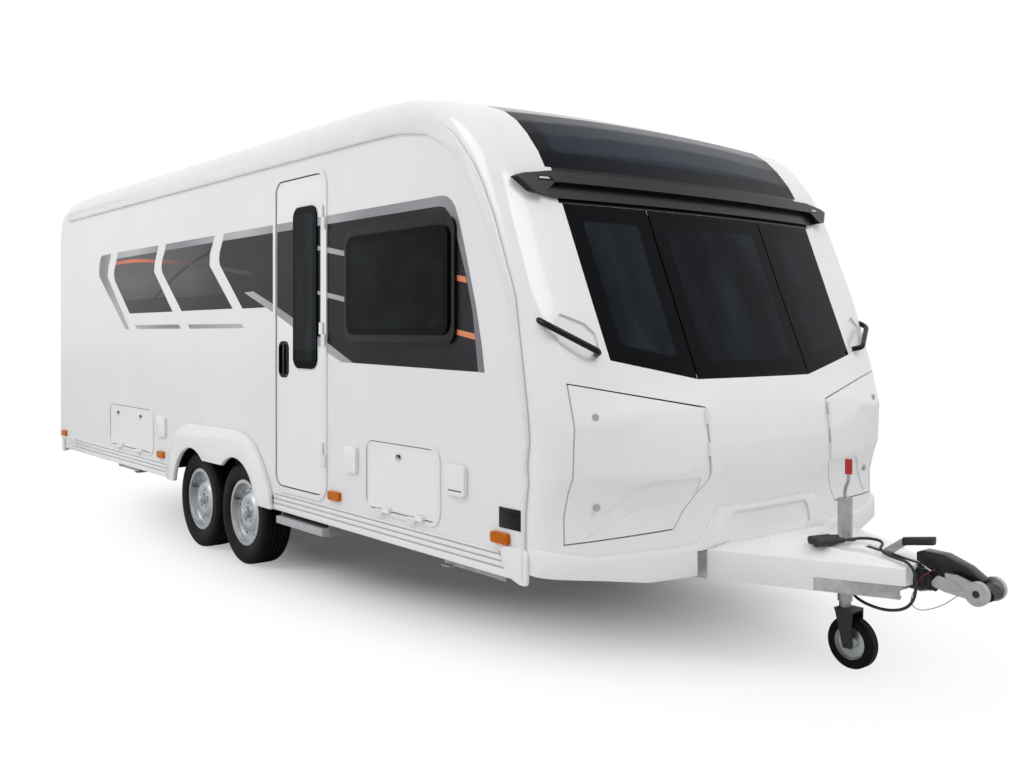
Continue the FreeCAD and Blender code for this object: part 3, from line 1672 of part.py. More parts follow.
def tyre(x, y):
    half = d.tyre_width / 2
    seat = d.rim_width / 2 - d.rim_thick - d.glass_seat
    bore = d.rim_radius - d.rim_flange + d.glass_seat
    shoulder = d.rim_radius + d.glass_seat
    corners = [(-seat, bore), (-seat, shoulder), (-half, d.tyre_radius * 0.8), (-half * 0.86, d.tyre_radius * 0.97),
               (-half * 0.7, d.tyre_radius), (half * 0.7, d.tyre_radius), (half * 0.86, d.tyre_radius * 0.97),
               (half, d.tyre_radius * 0.8), (seat, shoulder), (seat, bore)]
    return revolved(corners, x, y, d.tyre_radius)


def rim(x, y, way):
    """A pressed steel rim: a turned section with a raised middle, vent holes and bolts."""
    half = d.rim_width / 2 * way
    radius, thin = d.rim_radius, d.rim_thick
    bead = radius - d.rim_flange
    wall = thin * way
    disc = d.rim_offset * way
    hub = d.hub_radius
    corners = [(-half, radius), (wall - half, radius), (wall - half, bead), (half - wall, bead),
               (half - wall, radius), (half, radius), (half, bead - thin), (disc + wall * 2, bead - thin),
               (disc + wall * 1.2, bead * 0.87), (disc + wall * 1.6, bead * 0.68), (disc + wall * 5.5, bead * 0.53),
               (disc + wall * 5.8, bead * 0.48), (disc + wall * 4.8, hub * 1.15), (disc + wall * 8.4, hub),
               (disc + wall * 9, hub * 0.8), (disc + wall * 9, 0), (disc, 0), (disc, hub * 1.3),
               (disc + wall * 3, hub * 1.5), (disc + wall * 4.5, bead * 0.46), (disc + wall * 0.6, bead * 0.66),
               (disc, bead * 0.9), (disc, bead - thin), (-half, bead - thin)]
    body = revolved(corners, x, y, d.tyre_radius)
    back = -disc + thin * 4 if way > 0 else -disc + thin * 6
    vent = circles(body, "XZ_Plane", [(0, d.vent_circle)], d.vent_radius, back)
    ring_of(body, pocket(body, vent, thin * 10), vent, 9)
    face = disc + wall * 4.8
    bolt = circles(body, "XZ_Plane", [(0, d.bolt_circle)], d.bolt_radius, -face)
    head = pad(body, bolt, d.bolt_length)
    head.Reversed = way > 0
    ring_of(body, head, bolt, 5)
    body.Tip = body.Group[-1]
    return body


# Entrance door


def entrance_door():
    gap = d.door_gap
    start, end = -side, -(side - d.door_thick)
    panel = soft_rectangle_y(d.door_tail + gap, d.door_front - gap, d.door_low + gap, d.door_high - gap,
                             start, end, d.door_corner - gap)
    land = d.window_land
    hole = wall_hole(d.door_glass_tail + land / 2, d.door_glass_front - land / 2, d.door_glass_low + land / 2,
                     d.door_glass_high - land / 2, d.window_corner - land / 2)
    panel = panel.cut(hole)
    hollow = soft_rectangle_y(d.door_pull_tail, d.door_pull_front, d.door_pull_low, d.door_pull_high,
                              -(side + d.overrun), -(side - d.door_pull_depth), d.door_pull_corner)
    middle = (d.door_pull_tail + d.door_pull_front) / 2
    grip = prism_y(rectangle(middle - d.door_pull_bar / 2, middle + d.door_pull_bar / 2,
                             d.door_pull_low - d.door_pull_corner / 2, d.door_pull_high + d.door_pull_corner / 2),
                   -(side + d.lock_proud / 2), -(side - d.door_pull_depth / 2))
    panel = panel.cut(hollow).fuse(grip)
    for height in door_hinge_heights():
        panel = panel.fuse(hinge_eye(d.door_front, height, 1))
    node("entrance_door", feature(panel))
    glass = plate("XZ_Plane", rectangle(d.door_glass_tail, d.door_glass_front, d.door_glass_low, d.door_glass_high),
                  side + d.glass_seat, d.door_frame_proud, d.window_corner)
    node("door_window", glass)


def locker_doors():
    for name, places, shares in (("locker_door_front", front_locker_door_places(), (0.47,)),
                                 ("locker_door_rear", tail_locker_door_places(), (0.2, 0.73))):
        tail, front, low, high = places
        gap = d.door_gap
        start, end = -side, -(side - d.locker_thick)
        panel = soft_rectangle_y(tail + gap, front - gap, low + gap, high - gap, start, end, d.locker_corner - gap)
        for centre in locker_hinge_centres(places):
            panel = panel.fuse(locker_eye(centre, low, 1))
        for share in shares:
            place_3d = Vector(float(tail + (front - tail) * share), -float(side + d.lock_proud),
                              float(high - d.lock_drop))
            lock = Part.makeCylinder(float(d.lock_radius), float(d.lock_proud + d.locker_thick / 2), place_3d,
                                     Vector(0, 1, 0))
            panel = panel.fuse(lock)
        node(name, feature(panel))


# Overrun drawbar


def drawbar_parts():
    """The overrun housing bolted on the rails by its wings, and the draw tube with its gaiter."""
    length = d.housing_front - d.housing_tail
    half = d.housing_half
    height = d.housing_high - d.housing_low
    block = box(d.housing_tail, -half, d.housing_low, length, half * 2, height)
    wing_low = d.drawbar_low + d.rail_height + d.glass_seat
    wing_tail, wing_front = d.jockey_place + d.clamp_radius, d.housing_front - d.overrun
    tail_half = rail_face(wing_tail) - d.housing_wing_inset
    front_half = rail_face(wing_front) - d.housing_wing_inset
    wing = new_body()
    pad(wing, outline(wing, "XY_Plane", [(wing_tail, -tail_half), (wing_front, -front_half), (wing_front, front_half),
                                         (wing_tail, tail_half)], wing_low), d.housing_high - wing_low)
    boss = rod(d.draw_radius * 2, d.overrun * 1.5, d.housing_front - d.overrun * 1.5, 0, d.draw_height, "x")
    clamp = rod(d.clamp_radius, d.clamp_length + d.overrun, d.jockey_place, 0, d.housing_low - d.clamp_length)
    bore = rod(d.jockey_tube_radius + d.glass_seat, height + d.clamp_length + d.overrun * 2, d.jockey_place, 0,
               d.housing_low - d.clamp_length - d.overrun)
    draw_bore = rod(d.draw_radius + d.glass_seat, d.coupling_ball - d.jockey_place,
                    d.jockey_place + d.jockey_tube_radius + d.overrun * 2, 0, d.draw_height, "x")
    node("overrun_housing", cut(fuse(block, wing, boss, clamp), bore, draw_bore))
    tube_start = d.jockey_place + d.jockey_tube_radius + d.overrun * 3
    ball_tail = d.coupling_ball - d.ball_radius * 4
    tube = rod(d.draw_radius, ball_tail - tube_start, tube_start, 0, d.draw_height, "x")
    start = d.housing_front + d.glass_seat
    reach = d.gaiter_front - start
    fall = d.gaiter_tail_radius - d.gaiter_front_radius
    corners = [(start, 0), (start, d.gaiter_tail_radius)]
    for share in (0.1, 0.3, 0.5, 0.7, 0.9):
        rise = d.gaiter_tail_radius - fall * share
        corners += [(start + reach * (share - 0.03), rise), (start + reach * (share + 0.07), rise - d.gaiter_fold)]
    corners += [(d.gaiter_front, d.gaiter_front_radius), (d.gaiter_front, 0)]
    gaiter = revolved(corners, 0, 0, d.draw_height, "XZ_Plane")
    node("draw_tube", fuse(tube, gaiter))


def coupling_head():
    """The coupling: a pressed body with a ball socket below, and an arm and friction disc on each side."""
    tail = d.gaiter_front + d.glass_seat
    front = nose_end
    half = d.coupling_half
    low, high = d.coupling_low, d.coupling_high
    radius = d.ball_radius
    body = new_body()
    corners = [(tail, low + radius), (tail + radius * 2, low + radius * 0.4), (d.coupling_ball - radius * 2, low),
               (front - radius, low), (front, low + radius * 0.6), (front, d.draw_height),
               (front - radius * 0.8, high - radius * 0.4), (front - radius * 2.2, high), (tail + radius, high),
               (tail, high - radius)]
    pad(body, outline(body, "XZ_Plane", corners, -half), half * 2)
    rounded(body, radius * 0.35, (0, 1, 0))
    ball = document.addObject("Part::Sphere", "ball")
    bind(ball, "Radius", d.ball_radius + d.glass_seat)
    place(ball, d.coupling_ball, 0, d.draw_height)
    throat = rod(d.ball_radius + d.glass_seat, d.ball_radius * 2, d.coupling_ball, 0,
                 d.draw_height - d.ball_radius * 2)
    draw_bore = rod(d.draw_radius + d.glass_seat, d.ball_radius * 5, tail - d.overrun, 0, d.draw_height, "x")
    pieces = [cut(body, ball, throat, draw_bore)]
    for way in (-1, 1):
        pieces += coupling_side(way)
    node("coupling_head", fuse(*pieces))


def coupling_side(way):
    """The stub, the round disc with its cap and the tapered arm on one side of the coupling."""
    x, z = d.coupling_ball, d.draw_height + d.glass_seat
    inner, outer = d.coupling_half - d.glass_seat, d.disc_half

    def across(radius, start, end):
        return rod(radius, end - start, x, start if way > 0 else -end, z, "y")

    stub = across(d.disc_radius * 0.55, inner, outer)
    disc = across(d.disc_radius, outer - d.disc_thick, outer)
    cap = across(d.disc_cap, outer, outer + d.gas_lock_proud / 2)
    arm_end = outer - d.disc_thick / 2
    arm_start = arm_end - d.side_arm_thick
    arm = new_body()
    reach = d.disc_radius * 0.4
    corners = [(x, z - reach), (x + reach, z), (x - reach, z + d.disc_radius * 0.8),
               (d.side_arm_tail + d.disc_radius, d.side_arm_height), (d.side_arm_tail, d.side_arm_height),
               (d.side_arm_tail, d.side_arm_height - d.side_arm_thick * 1.5),
               (d.side_arm_tail + d.disc_radius, d.side_arm_height - d.side_arm_thick * 2.5)]
    pad(arm, outline(arm, "XZ_Plane", corners, -arm_end if way > 0 else arm_start), d.side_arm_thick)
    return [stub, disc, cap, arm]


def hand_levers():
    """The coupling's long handle and the handbrake lever with its grip, both at rest."""
    half = d.handle_half
    tail, front = d.handle_tail, d.handle_front
    back, nose = d.handle_back_height, d.handle_nose_height
    seat = d.coupling_high + d.glass_seat
    reach = front - tail
    handle = new_body()
    corners = [(tail, back - d.handle_edge * 4.5), (tail + reach * 0.27, seat + d.handle_edge),
               (tail + reach * 0.34, seat), (front, seat), (front, nose), (tail + reach * 0.78, back - d.handle_edge * 4),
               (tail + reach * 0.42, back - d.handle_edge / 3), (tail + reach * 0.08, back), (tail, back - d.handle_edge)]
    pad(handle, outline(handle, "XZ_Plane", corners, -half), half * 2)
    node("hand_levers", group(handle, brake_lever()))


def brake_lever():
    """A flat arm from the pivot to a squared grip."""
    x, z = d.brake_pivot, d.brake_pivot_height
    grip_x, grip_z = d.brake_grip, d.brake_grip_height
    half = d.lever_thick / 2
    deep = d.lever_depth / 2
    arm = new_body()
    corners = [(x - deep, d.housing_high + d.glass_seat), (x + deep * 1.5, d.housing_high + d.glass_seat),
               (grip_x + deep, grip_z - deep), (grip_x + deep, grip_z + deep), (grip_x - deep, grip_z + deep / 2),
               (x - deep, d.housing_high + deep)]
    pad(arm, outline(arm, "XZ_Plane", corners, -half), d.lever_thick)
    radius = d.brake_grip_radius
    far, rise = grip_x + d.brake_grip_length, grip_z + d.brake_grip_rise
    grip = new_body()
    ends = [(grip_x, grip_z - radius), (far, rise - radius), (far, rise + radius), (grip_x, grip_z + radius)]
    pad(grip, outline(grip, "XZ_Plane", ends, -radius), radius * 2)
    rounded(grip, radius * 0.6, Vector(float(far - grip_x), 0, float(rise - grip_z)).normalize())
    return fuse(arm, grip)


# Along the drawbar cover: length share, then the crown height as a share of what it rises above the tail
COVER_SHARES = [(0.0, 0.0), (0.14, 0.15), (0.34, 1.0), (0.62, 0.62), (1.0, -0.1)]


def cover_sections(body, inset):
    """Upright sections that keep a fixed gap outside the drawbar's rails."""
    sections = []
    for along, up in COVER_SHARES:
        x = d.cover_tail + (d.cover_front - d.cover_tail) * along
        low = d.cover_low
        if inset:
            low = d.cover_low - d.overrun
            if along == 0:
                x = d.cover_tail - d.overrun
            if along == 1:
                x = d.cover_front - d.cover_thick
        half = rail_face(x) + d.cover_gap + d.cover_thick - inset
        shoulder = d.drawbar_low + d.rail_height + d.cover_gap + d.cover_thick - inset
        high = d.cover_tail_high + (d.cover_high - d.cover_tail_high) * up - inset
        top = half * 0.74
        corners = [(-half, low), (half, low), (half, shoulder), (top, high), (-top, high), (-half, shoulder)]
        sections.append(outline(body, "YZ_Plane", corners, x))
    return sections


def drawbar_cover():
    """The moulded cover: a lofted shell over the rails, its tail trimmed to the bumper's curve."""
    body = new_body()
    lofted(body, "Additive", cover_sections(body, 0))
    lofted(body, "Subtractive", cover_sections(body, d.cover_thick))
    step = outline(body, "XZ_Plane", rectangle(d.cover_step, d.cover_front + d.overrun, d.cover_low - d.overrun,
                                               d.cover_front_low), d.rail_half_gauge)
    pocket(body, step, d.rail_half_gauge * 2)
    high = d.cover_high + d.overrun
    hole = circles(body, "XY_Plane", [(d.jockey_place, 0)], d.clamp_radius, high)
    pocket(body, hole, high - d.cover_low)
    slot = outline(body, "XY_Plane", rectangle(d.brake_pivot - d.overrun * 3, d.cover_front + d.overrun, -d.overrun,
                                               d.overrun), high)
    pocket(body, slot, high - d.housing_high + d.overrun)
    mouth = circles(body, "YZ_Plane", [(0, d.draw_height)], d.gaiter_tail_radius + d.cover_thick,
                    d.cover_front + d.overrun)
    pocket(body, mouth, d.cover_front - d.housing_front + d.overrun * 2)
    foot = STATIONS[NOSE_FOOT]
    crown = float(foot.crown) + float(d.fairing_proud + d.fairing_gap)
    bulge = Part.makeCylinder(crown, float(high * 2), Vector(foot.x - foot.crown, 0, 0))
    keeper = document.addObject("Part::Feature", "bulge")
    keeper.Shape = bulge
    node("drawbar_cover", cut(body, keeper))


# Jockey wheel


def jockey():
    x = d.jockey_place
    outer = rod(d.jockey_tube_radius, d.jockey_tube_high - d.jockey_tube_low, x, 0, d.jockey_tube_low)
    bore = rod(d.jockey_bore, d.jockey_tube_high - d.jockey_tube_low - d.overrun, x, 0,
               d.jockey_tube_low - d.overrun * 0.5)
    node("jockey_tube", cut(outer, bore))
    crank()
    stem_top = d.jockey_tube_high - d.overrun * 12
    node("jockey_stem", rod(d.jockey_stem_radius, stem_top - d.jockey_stem_low, x, 0, d.jockey_stem_low))
    fork()
    jockey_wheel()


def crank():
    x, top = float(d.jockey_place), float(d.jockey_tube_high + d.glass_seat)
    radius, reach = float(d.crank_radius), float(d.crank_reach)
    rise = reach
    points = [Vector(x, 0, top), Vector(x, 0, top + rise), Vector(x + reach * 0.5, -reach * 0.35, top + rise * 1.5),
              Vector(x + reach * 0.5, -reach * 0.35, top + rise * 2.7)]
    arm = tube_along(points, radius)
    cap = Part.makeCylinder(float(d.jockey_tube_radius), float(d.overrun), Vector(x, 0, top))
    knob = Part.makeCylinder(float(d.knob_radius), rise, Vector(points[3].x, points[3].y, points[3].z - rise * 0.7))
    node("jockey_crank", feature(arm.fuse(cap).fuse(knob)))


def fork():
    """Two cheeks below a turning plate, carrying the jockey wheel behind the stem."""
    x, wheel_x = d.jockey_place, d.jockey_place + d.jockey_trail
    top = d.jockey_stem_low - d.glass_seat
    thick = d.fork_thick
    gap = d.jockey_wheel_width / 2 + d.fork_gap
    cheeks = []
    for start in (-(gap + thick), gap):
        body = new_body()
        corners = [(x - d.jockey_stem_radius, top), (wheel_x + d.jockey_stem_radius, top),
                   (wheel_x + d.overrun, d.jockey_wheel_radius - d.overrun),
                   (wheel_x - d.overrun, d.jockey_wheel_radius - d.overrun)]
        pad(body, outline(body, "XZ_Plane", corners, start), thick)
        cheeks.append(body)
    crown = box(x - d.jockey_stem_radius, -(gap + thick), top - thick * 2,
                d.jockey_trail + d.jockey_stem_radius * 2, (gap + thick) * 2, thick * 2)
    pin = rod(d.crank_radius, (gap + thick) * 2, wheel_x, -(gap + thick), d.jockey_wheel_radius, "y")
    node("jockey_fork", fuse(crown, pin, *cheeks))


def jockey_wheel():
    """A solid tyre on a dished hub."""
    half = d.jockey_wheel_width / 2
    radius = d.jockey_wheel_radius
    bore = d.crank_radius + d.glass_seat / 2
    side_shares = [(1.0, 0.20), (0.4, 0.24), (0.35, 0.56), (0.8, 0.64), (0.85, 0.90), (0.55, 1.0)]
    corners = [(-half, bore)] + [(-half * wide, radius * out) for wide, out in side_shares]
    corners += [(half * wide, radius * out) for wide, out in reversed(side_shares)] + [(half, bore)]
    node("jockey_wheel", revolved(corners, d.jockey_place + d.jockey_trail, 0, radius))


# Corner steadies and step


def steady(name, pivot_x, way_x, way_y):
    """One folded corner leg: a folded channel with a round pivot and a foot plate."""
    z = d.steady_pivot_height
    width = d.steady_width
    y = d.steady_half_gauge * way_y
    end = pivot_x + d.steady_length * way_x
    low, high = (pivot_x, end) if way_x > 0 else (end, pivot_x)
    leg = box(low, y - width / 2, z - width * 0.6, high - low, width, width * 0.8)
    pivot = rod(width * 0.6, width, pivot_x, y - width / 2, z, "y")
    bore = rod(d.crank_radius + d.glass_seat / 2, width * 2, pivot_x, y - width, z, "y")
    foot_low = end - d.steady_foot if way_x > 0 else end
    foot = box(foot_low, y - width, z - width * 0.6 - d.hinge_radius, d.steady_foot, width * 2, d.hinge_radius)
    node(name, cut(fuse(leg, pivot, foot), bore))


def steadies():
    for hand, way_y in (("right", -1), ("left", 1)):
        steady("steady_rear_" + hand, -d.steady_tail_pivot, 1, way_y)
        steady("steady_front_" + hand, d.steady_front_pivot, -1, way_y)


def steady_brackets():
    """Two cheeks and a pin under the floor for each corner leg."""
    z = d.steady_pivot_height
    width = d.steady_width
    thick = d.fork_thick
    brackets = []
    for pivot in (-d.steady_tail_pivot, d.steady_front_pivot):
        for way in (-1, 1):
            y = d.steady_half_gauge * way
            gap = width / 2 + d.glass_seat
            pieces = [rod(d.crank_radius, (gap + thick) * 2, pivot, y - gap - thick, z, "y")]
            for start in (y - gap - thick, y + gap):
                pieces.append(box(pivot - width * 0.7, start, z - width * 0.6, width * 1.4, thick,
                                  d.body_low - d.glass_seat - z + width * 0.6))
            brackets.append(fuse(*pieces))
    node("steady_brackets", group(*brackets))


def entrance_step():
    """A shallow step below the door that slides out from two guides."""
    front_y = side + d.skirt_proud + d.overrun * 0.5
    length = d.step_front - d.step_tail
    node("entrance_step", box(d.step_tail, -front_y, d.step_low, length, d.step_depth, d.step_thick))
    thick = d.step_guide
    guides = []
    for x, lip_x in ((d.step_tail - d.glass_seat - thick, d.step_tail - d.glass_seat),
                     (d.step_front + d.glass_seat, d.step_front + d.glass_seat - d.overrun)):
        low = d.step_low - d.glass_seat - thick
        depth = d.step_depth * 0.9
        hanger = box(x, -(side - d.overrun), low, thick, depth, d.body_low - d.glass_seat - low)
        lip = box(lip_x, -(side - d.overrun), low, d.overrun, depth, thick)
        guides.append(fuse(hanger, lip))
    node("step_guides", group(*guides))


def furniture():
    """A bench and a worktop behind the front windows."""
    half = wall_inside - d.glass_seat
    depth = d.roof_light_side * 1.4
    seat = d.step_depth * 1.7
    front = d.gas_bulkhead - d.glass_seat
    bench = []
    for way in (-1, 1):
        y = half - depth if way > 0 else -half
        bench.append(box(d.window_tail + d.overrun, y, floor_top + d.glass_seat, front - d.window_tail - d.overrun,
                         depth, seat))
    node("furniture", group(*bench))


# Cables


# The routes ahead of the jockey tube, left of the middle and above the draw tube, as shares of one span
CABLE_SHARES = [
    (0.1360, -0.2340, 0.2950), (0.1650, -0.1250, 0.2950), (0.1825, -0.0010, 0.2925), (0.2570, 0.0730, 0.2900),
    (0.3620, 0.0730, 0.2850), (0.4360, -0.0010, 0.2725), (0.4825, -0.1450, 0.2500), (0.6010, -0.2140, 0.2225),
    (0.7250, -0.2260, 0.2050), (0.8350, -0.2275, 0.1900), (0.9050, -0.2250, 0.1100), (0.9150, -0.2200, -0.0200),
    (0.8950, -0.2150, -0.1550), (0.8200, -0.2100, -0.2550), (0.7000, -0.2125, -0.3075), (0.5600, -0.2175, -0.3250),
    (0.4100, -0.2125, -0.3125), (0.2800, -0.1900, -0.2875), (0.1800, -0.1550, -0.2450), (0.1450, -0.1325, -0.1474),
]
BREAKAWAY_SHARES = [
    (1.0300, -0.0761, 0.1350), (0.9850, -0.1250, 0.1050), (0.9200, -0.1525, 0.0475), (0.8800, -0.1550, -0.0475),
    (0.8350, -0.1550, -0.1400), (0.8200, -0.1525, -0.2025), (0.8500, -0.1500, -0.2525), (0.9075, -0.1475, -0.2700),
    (0.9750, -0.1450, -0.2550), (1.0800, -0.1400, -0.2100), (1.1775, -0.1325, -0.1500), (1.2600, -0.0893, -0.0700),
]


def route(shares):
    span = d.cable_span
    return [Vector(float(d.jockey_place + span * ahead), float(span * left), float(d.draw_height + span * up))
            for ahead, left, up in shares]


def cord(name, shares, radius):
    """A loose cable: straight runs joined by arcs as large as the runs allow."""
    points = route(shares)
    tube = tube_along(points, radius)
    length, radii = route_length(points)
    section = math.pi * float(radius) ** 2
    print(name, "length", round(length, 1), "volume over section times length",
          round(tube.Volume / (section * length), 4), "radii", radii)
    print(name, "points", [[round(v, 1) for v in point] for point in points])
    node(name, feature(tube))


def route_length(points):
    """The length along runs and arcs, and each arc's radius."""
    length, radii = 0.0, []
    for first, second in zip(points, points[1:]):
        length += (second - first).Length
    for before, corner, after in zip(points, points[1:], points[2:]):
        angle = (corner - before).getAngle(after - corner)
        run = min((corner - before).Length, (after - corner).Length)
        radius = 0.45 * run / math.tan(angle / 2)
        length += radius * angle - 2 * 0.45 * run
        radii.append(round(radius, 1))
    return length, radii


def cables():
    cord("tow_cable", CABLE_SHARES, d.cable_radius)
    cord("breakaway_cable", BREAKAWAY_SHARES, d.breakaway_radius)
    plug()


def plug():
    """The plug on the cable's end and the second plug beside it, each with its boot."""
    points = route(CABLE_SHARES)
    out = (points[0] - points[1])
    out = Vector(out.x, out.y, 0).normalize()
    beside = Vector(-out.y, out.x, 0)
    if beside.x > 0:
        beside = -beside
    length, boot = float(d.plug_length), float(d.boot_length)
    plugs = []
    for step in (0.0, float(d.plug_radius) * 2.02):
        start = points[0] + beside * step + out * float(d.glass_seat) + Vector(0, 0, step * 0.16)
        tail = Part.makeCone(float(d.boot_radius), float(d.plug_radius) * 0.8, boot, start, out)
        head = Part.makeCylinder(float(d.plug_radius), length, start + out * boot, out)
        plugs.append(tail.fuse(head))
    node("tow_plug", feature(Part.makeCompound(plugs)))


# Build everything, test it and write one file for each sub-part


def build_all():
    right_wall()
    left_wall()
    tail_panel()
    roof_panel()
    front_panel()
    front_glass()
    gas_doors()
    gas_locker()
    floor_panel()
    wheel_boxes()
    skirts()
    wheel_arches()
    awning_rails()
    body_windows()
    visor()
    grab_handles()
    marker_lamps()
    rear_lamps()
    service_hatches()
    rooflights()
    front_fairing()
    rear_bumper()
    chassis_rails()
    cross_members()
    axles()
    wheels()
    entrance_door()
    locker_doors()
    drawbar_parts()
    coupling_head()
    hand_levers()
    drawbar_cover()
    jockey()
    cables()
    steadies()
    steady_brackets()
    entrance_step()
    furniture()


def check_all():
    failed = []
    for item in document.Objects:
        if "Invalid" in item.State or "Error" in item.State:
            failed.append(item.Name + " in " + str([owner.Label for owner in item.InListRecursive]))
    if failed:
        raise RuntimeError("\n".join(failed))
    for name, item in NODES.items():
        shape = item.Shape
        if shape.isNull() or not shape.isValid() or not shape.Solids:
            raise RuntimeError(name + " has no valid solid")


def write_all():
    os.makedirs("parts", exist_ok=True)
    for name, item in NODES.items():
        item.Shape.exportStep("parts/" + name + ".step")
    print(len(NODES), "sub-parts written")
    for place_3d in gas_hinge_line():
        print("front locker hinge", round(place_3d.x, 2), round(place_3d.y, 2), round(place_3d.z, 2))


build_all()
document.recompute()
check_all()
write_all()
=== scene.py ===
# %% [markdown]
# # A white touring caravan, dressed for its picture
#
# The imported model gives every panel, wheel and door its exact place. This script keeps that frame,
# gives each surface the finish it has on the real caravan, and adds what is too fine for the solids.
# Lengths are metres, and the outlines drawn flat on a wall are millimetres. +X points forwards to the
# coupling, +Y to the left side and +Z up.

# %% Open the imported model
import json
import math
from contextlib import contextmanager

import bmesh
import bpy
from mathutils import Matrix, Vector
from mathutils.bvhtree import BVHTree
from mathutils.geometry import delaunay_2d_cdt
from mathutils.kdtree import KDTree


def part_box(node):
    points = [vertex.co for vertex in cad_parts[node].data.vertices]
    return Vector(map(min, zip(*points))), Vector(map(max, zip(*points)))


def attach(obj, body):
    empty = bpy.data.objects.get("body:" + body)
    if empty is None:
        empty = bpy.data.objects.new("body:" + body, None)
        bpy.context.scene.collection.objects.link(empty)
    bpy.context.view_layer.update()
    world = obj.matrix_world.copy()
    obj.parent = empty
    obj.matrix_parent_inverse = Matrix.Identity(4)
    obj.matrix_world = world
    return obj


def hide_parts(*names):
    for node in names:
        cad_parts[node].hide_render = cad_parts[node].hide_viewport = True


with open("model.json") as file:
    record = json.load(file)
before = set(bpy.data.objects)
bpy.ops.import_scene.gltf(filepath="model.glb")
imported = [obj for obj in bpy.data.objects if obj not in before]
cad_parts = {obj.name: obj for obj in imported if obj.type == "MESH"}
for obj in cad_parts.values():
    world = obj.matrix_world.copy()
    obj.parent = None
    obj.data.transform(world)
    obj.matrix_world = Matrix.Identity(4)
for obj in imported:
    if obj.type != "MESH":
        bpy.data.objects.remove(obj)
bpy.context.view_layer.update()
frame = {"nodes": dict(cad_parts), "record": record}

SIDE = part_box("side_wall_left")[1].y
record = frame["record"]
BODY_OF = {node: body for body, nodes in record["behaviour"]["bodies"].items() for node in nodes}
SLOT_OF = {part["node"]: part["material_slot"] for part in record["subparts"]}

# %% [markdown]
# ## The camera
#
# The photograph was taken from beyond the front right corner, at eye level, with the camera held
# level. Its place was worked out from the straight edges of the walls. The lens is moved a little off
# centre, as a shift lens does, because the picture was cropped above and below.

# %% Place the camera
HEADING = math.radians(50.76)
EYE = (5.6263, -3.7919, 1.3935)
LENS_MM, SENSOR_MM, LENS_SHIFT = 36.36, 36.0, -0.0525
forward = Vector((-math.sin(HEADING), math.cos(HEADING), 0.0))
camera_data = bpy.data.cameras.new("photo_camera")
camera_data.lens = LENS_MM
camera_data.sensor_width = SENSOR_MM
camera_data.shift_y = LENS_SHIFT
camera = bpy.data.objects.new("photo_camera", camera_data)
camera.location = EYE
camera.rotation_mode = "QUATERNION"
camera.rotation_quaternion = forward.to_track_quat("-Z", "Y")
bpy.context.scene.collection.objects.link(camera)
bpy.context.scene.camera = camera
bpy.context.scene.view_settings.view_transform = "Standard"
print("camera at", EYE, "with a lens of", LENS_MM, "mm")


# %% [markdown]
# ## Small helpers for materials
#
# Paint charts and screens give colours as sRGB hex values, while a renderer works with linear light.
# One function turns the first into the second. Another adds a node with its settings and its links in
# one call, so that a material reads as a short list. The scale of a noise is the number of its patches
# in a metre: at 38 a wave is 26 mm long, and at 500 a grain is 2 mm.

# %% Helpers for colour and nodes
def linear(hex_colour):
    """An sRGB hex colour as linear red, green, blue and alpha."""
    values = [int(hex_colour[i:i + 2], 16) / 255 for i in (1, 3, 5)]
    return [v / 12.92 if v <= 0.04045 else ((v + 0.055) / 1.055) ** 2.4 for v in values] + [1.0]


def add(tree, kind, links=None, **settings):
    """Adds a node. Settings name its sockets, with _ for a space, or its properties. Links join
    sockets to other nodes' outputs."""
    item = tree.nodes.new(kind)
    for name, value in settings.items():
        socket = name.replace("_", " ")
        if socket in item.inputs:
            item.inputs[socket].default_value = value
        else:
            setattr(item, name, value)
    for name, source in (links or {}).items():
        tree.links.new(source, item.inputs[name])
    return item


def new_material(name, **settings):
    """A material with one Principled shader; returns the material, its tree and the shader."""
    material = bpy.data.materials.new(name)
    material.use_nodes = True
    tree = material.node_tree
    shader = tree.nodes["Principled BSDF"]
    for socket, value in settings.items():
        shader.inputs[socket.replace("_", " ")].default_value = value
    return material, tree, shader


# %% Helpers for a surface's colour
def blended(tree, factor, first, second, blend="MIX"):
    """Mixes two colours, each a hex value or another node's output; no factor means wholly."""
    mix = add(tree, "ShaderNodeMix", data_type="RGBA", blend_type=blend)
    if factor is None:
        mix.inputs[0].default_value = 1.0
    else:
        tree.links.new(factor, mix.inputs[0])
    for socket, colour in ((6, first), (7, second)):
        if isinstance(colour, str):
            mix.inputs[socket].default_value = linear(colour)
        else:
            tree.links.new(colour, mix.inputs[socket])
    return mix.outputs[2]


def multiplied(tree, first, second):
    """Darkens one colour by another, as a print over a tint does."""
    return blended(tree, None, first, second, "MULTIPLY")


def painted(tree, shader, colour):
    """Gives a shader its colour from another node."""
    tree.links.new(colour, shader.inputs["Base Color"])


def cloudy(tree, scale, detail=3.0, stretch=(1.0, 1.0, 1.0), low=0.35, high=0.65):
    """Soft noise of a real size on the piece's own coordinates, from 0 to 1."""
    place = add(tree, "ShaderNodeTexCoord")
    mapping = add(tree, "ShaderNodeMapping", {"Vector": place.outputs["Object"]}, Scale=stretch)
    noise = add(tree, "ShaderNodeTexNoise", {"Vector": mapping.outputs["Vector"]},
                Scale=scale, Detail=detail)
    wide = add(tree, "ShaderNodeMapRange", {"Value": noise.outputs["Fac"]}, From_Min=low, From_Max=high)
    return wide.outputs["Result"]


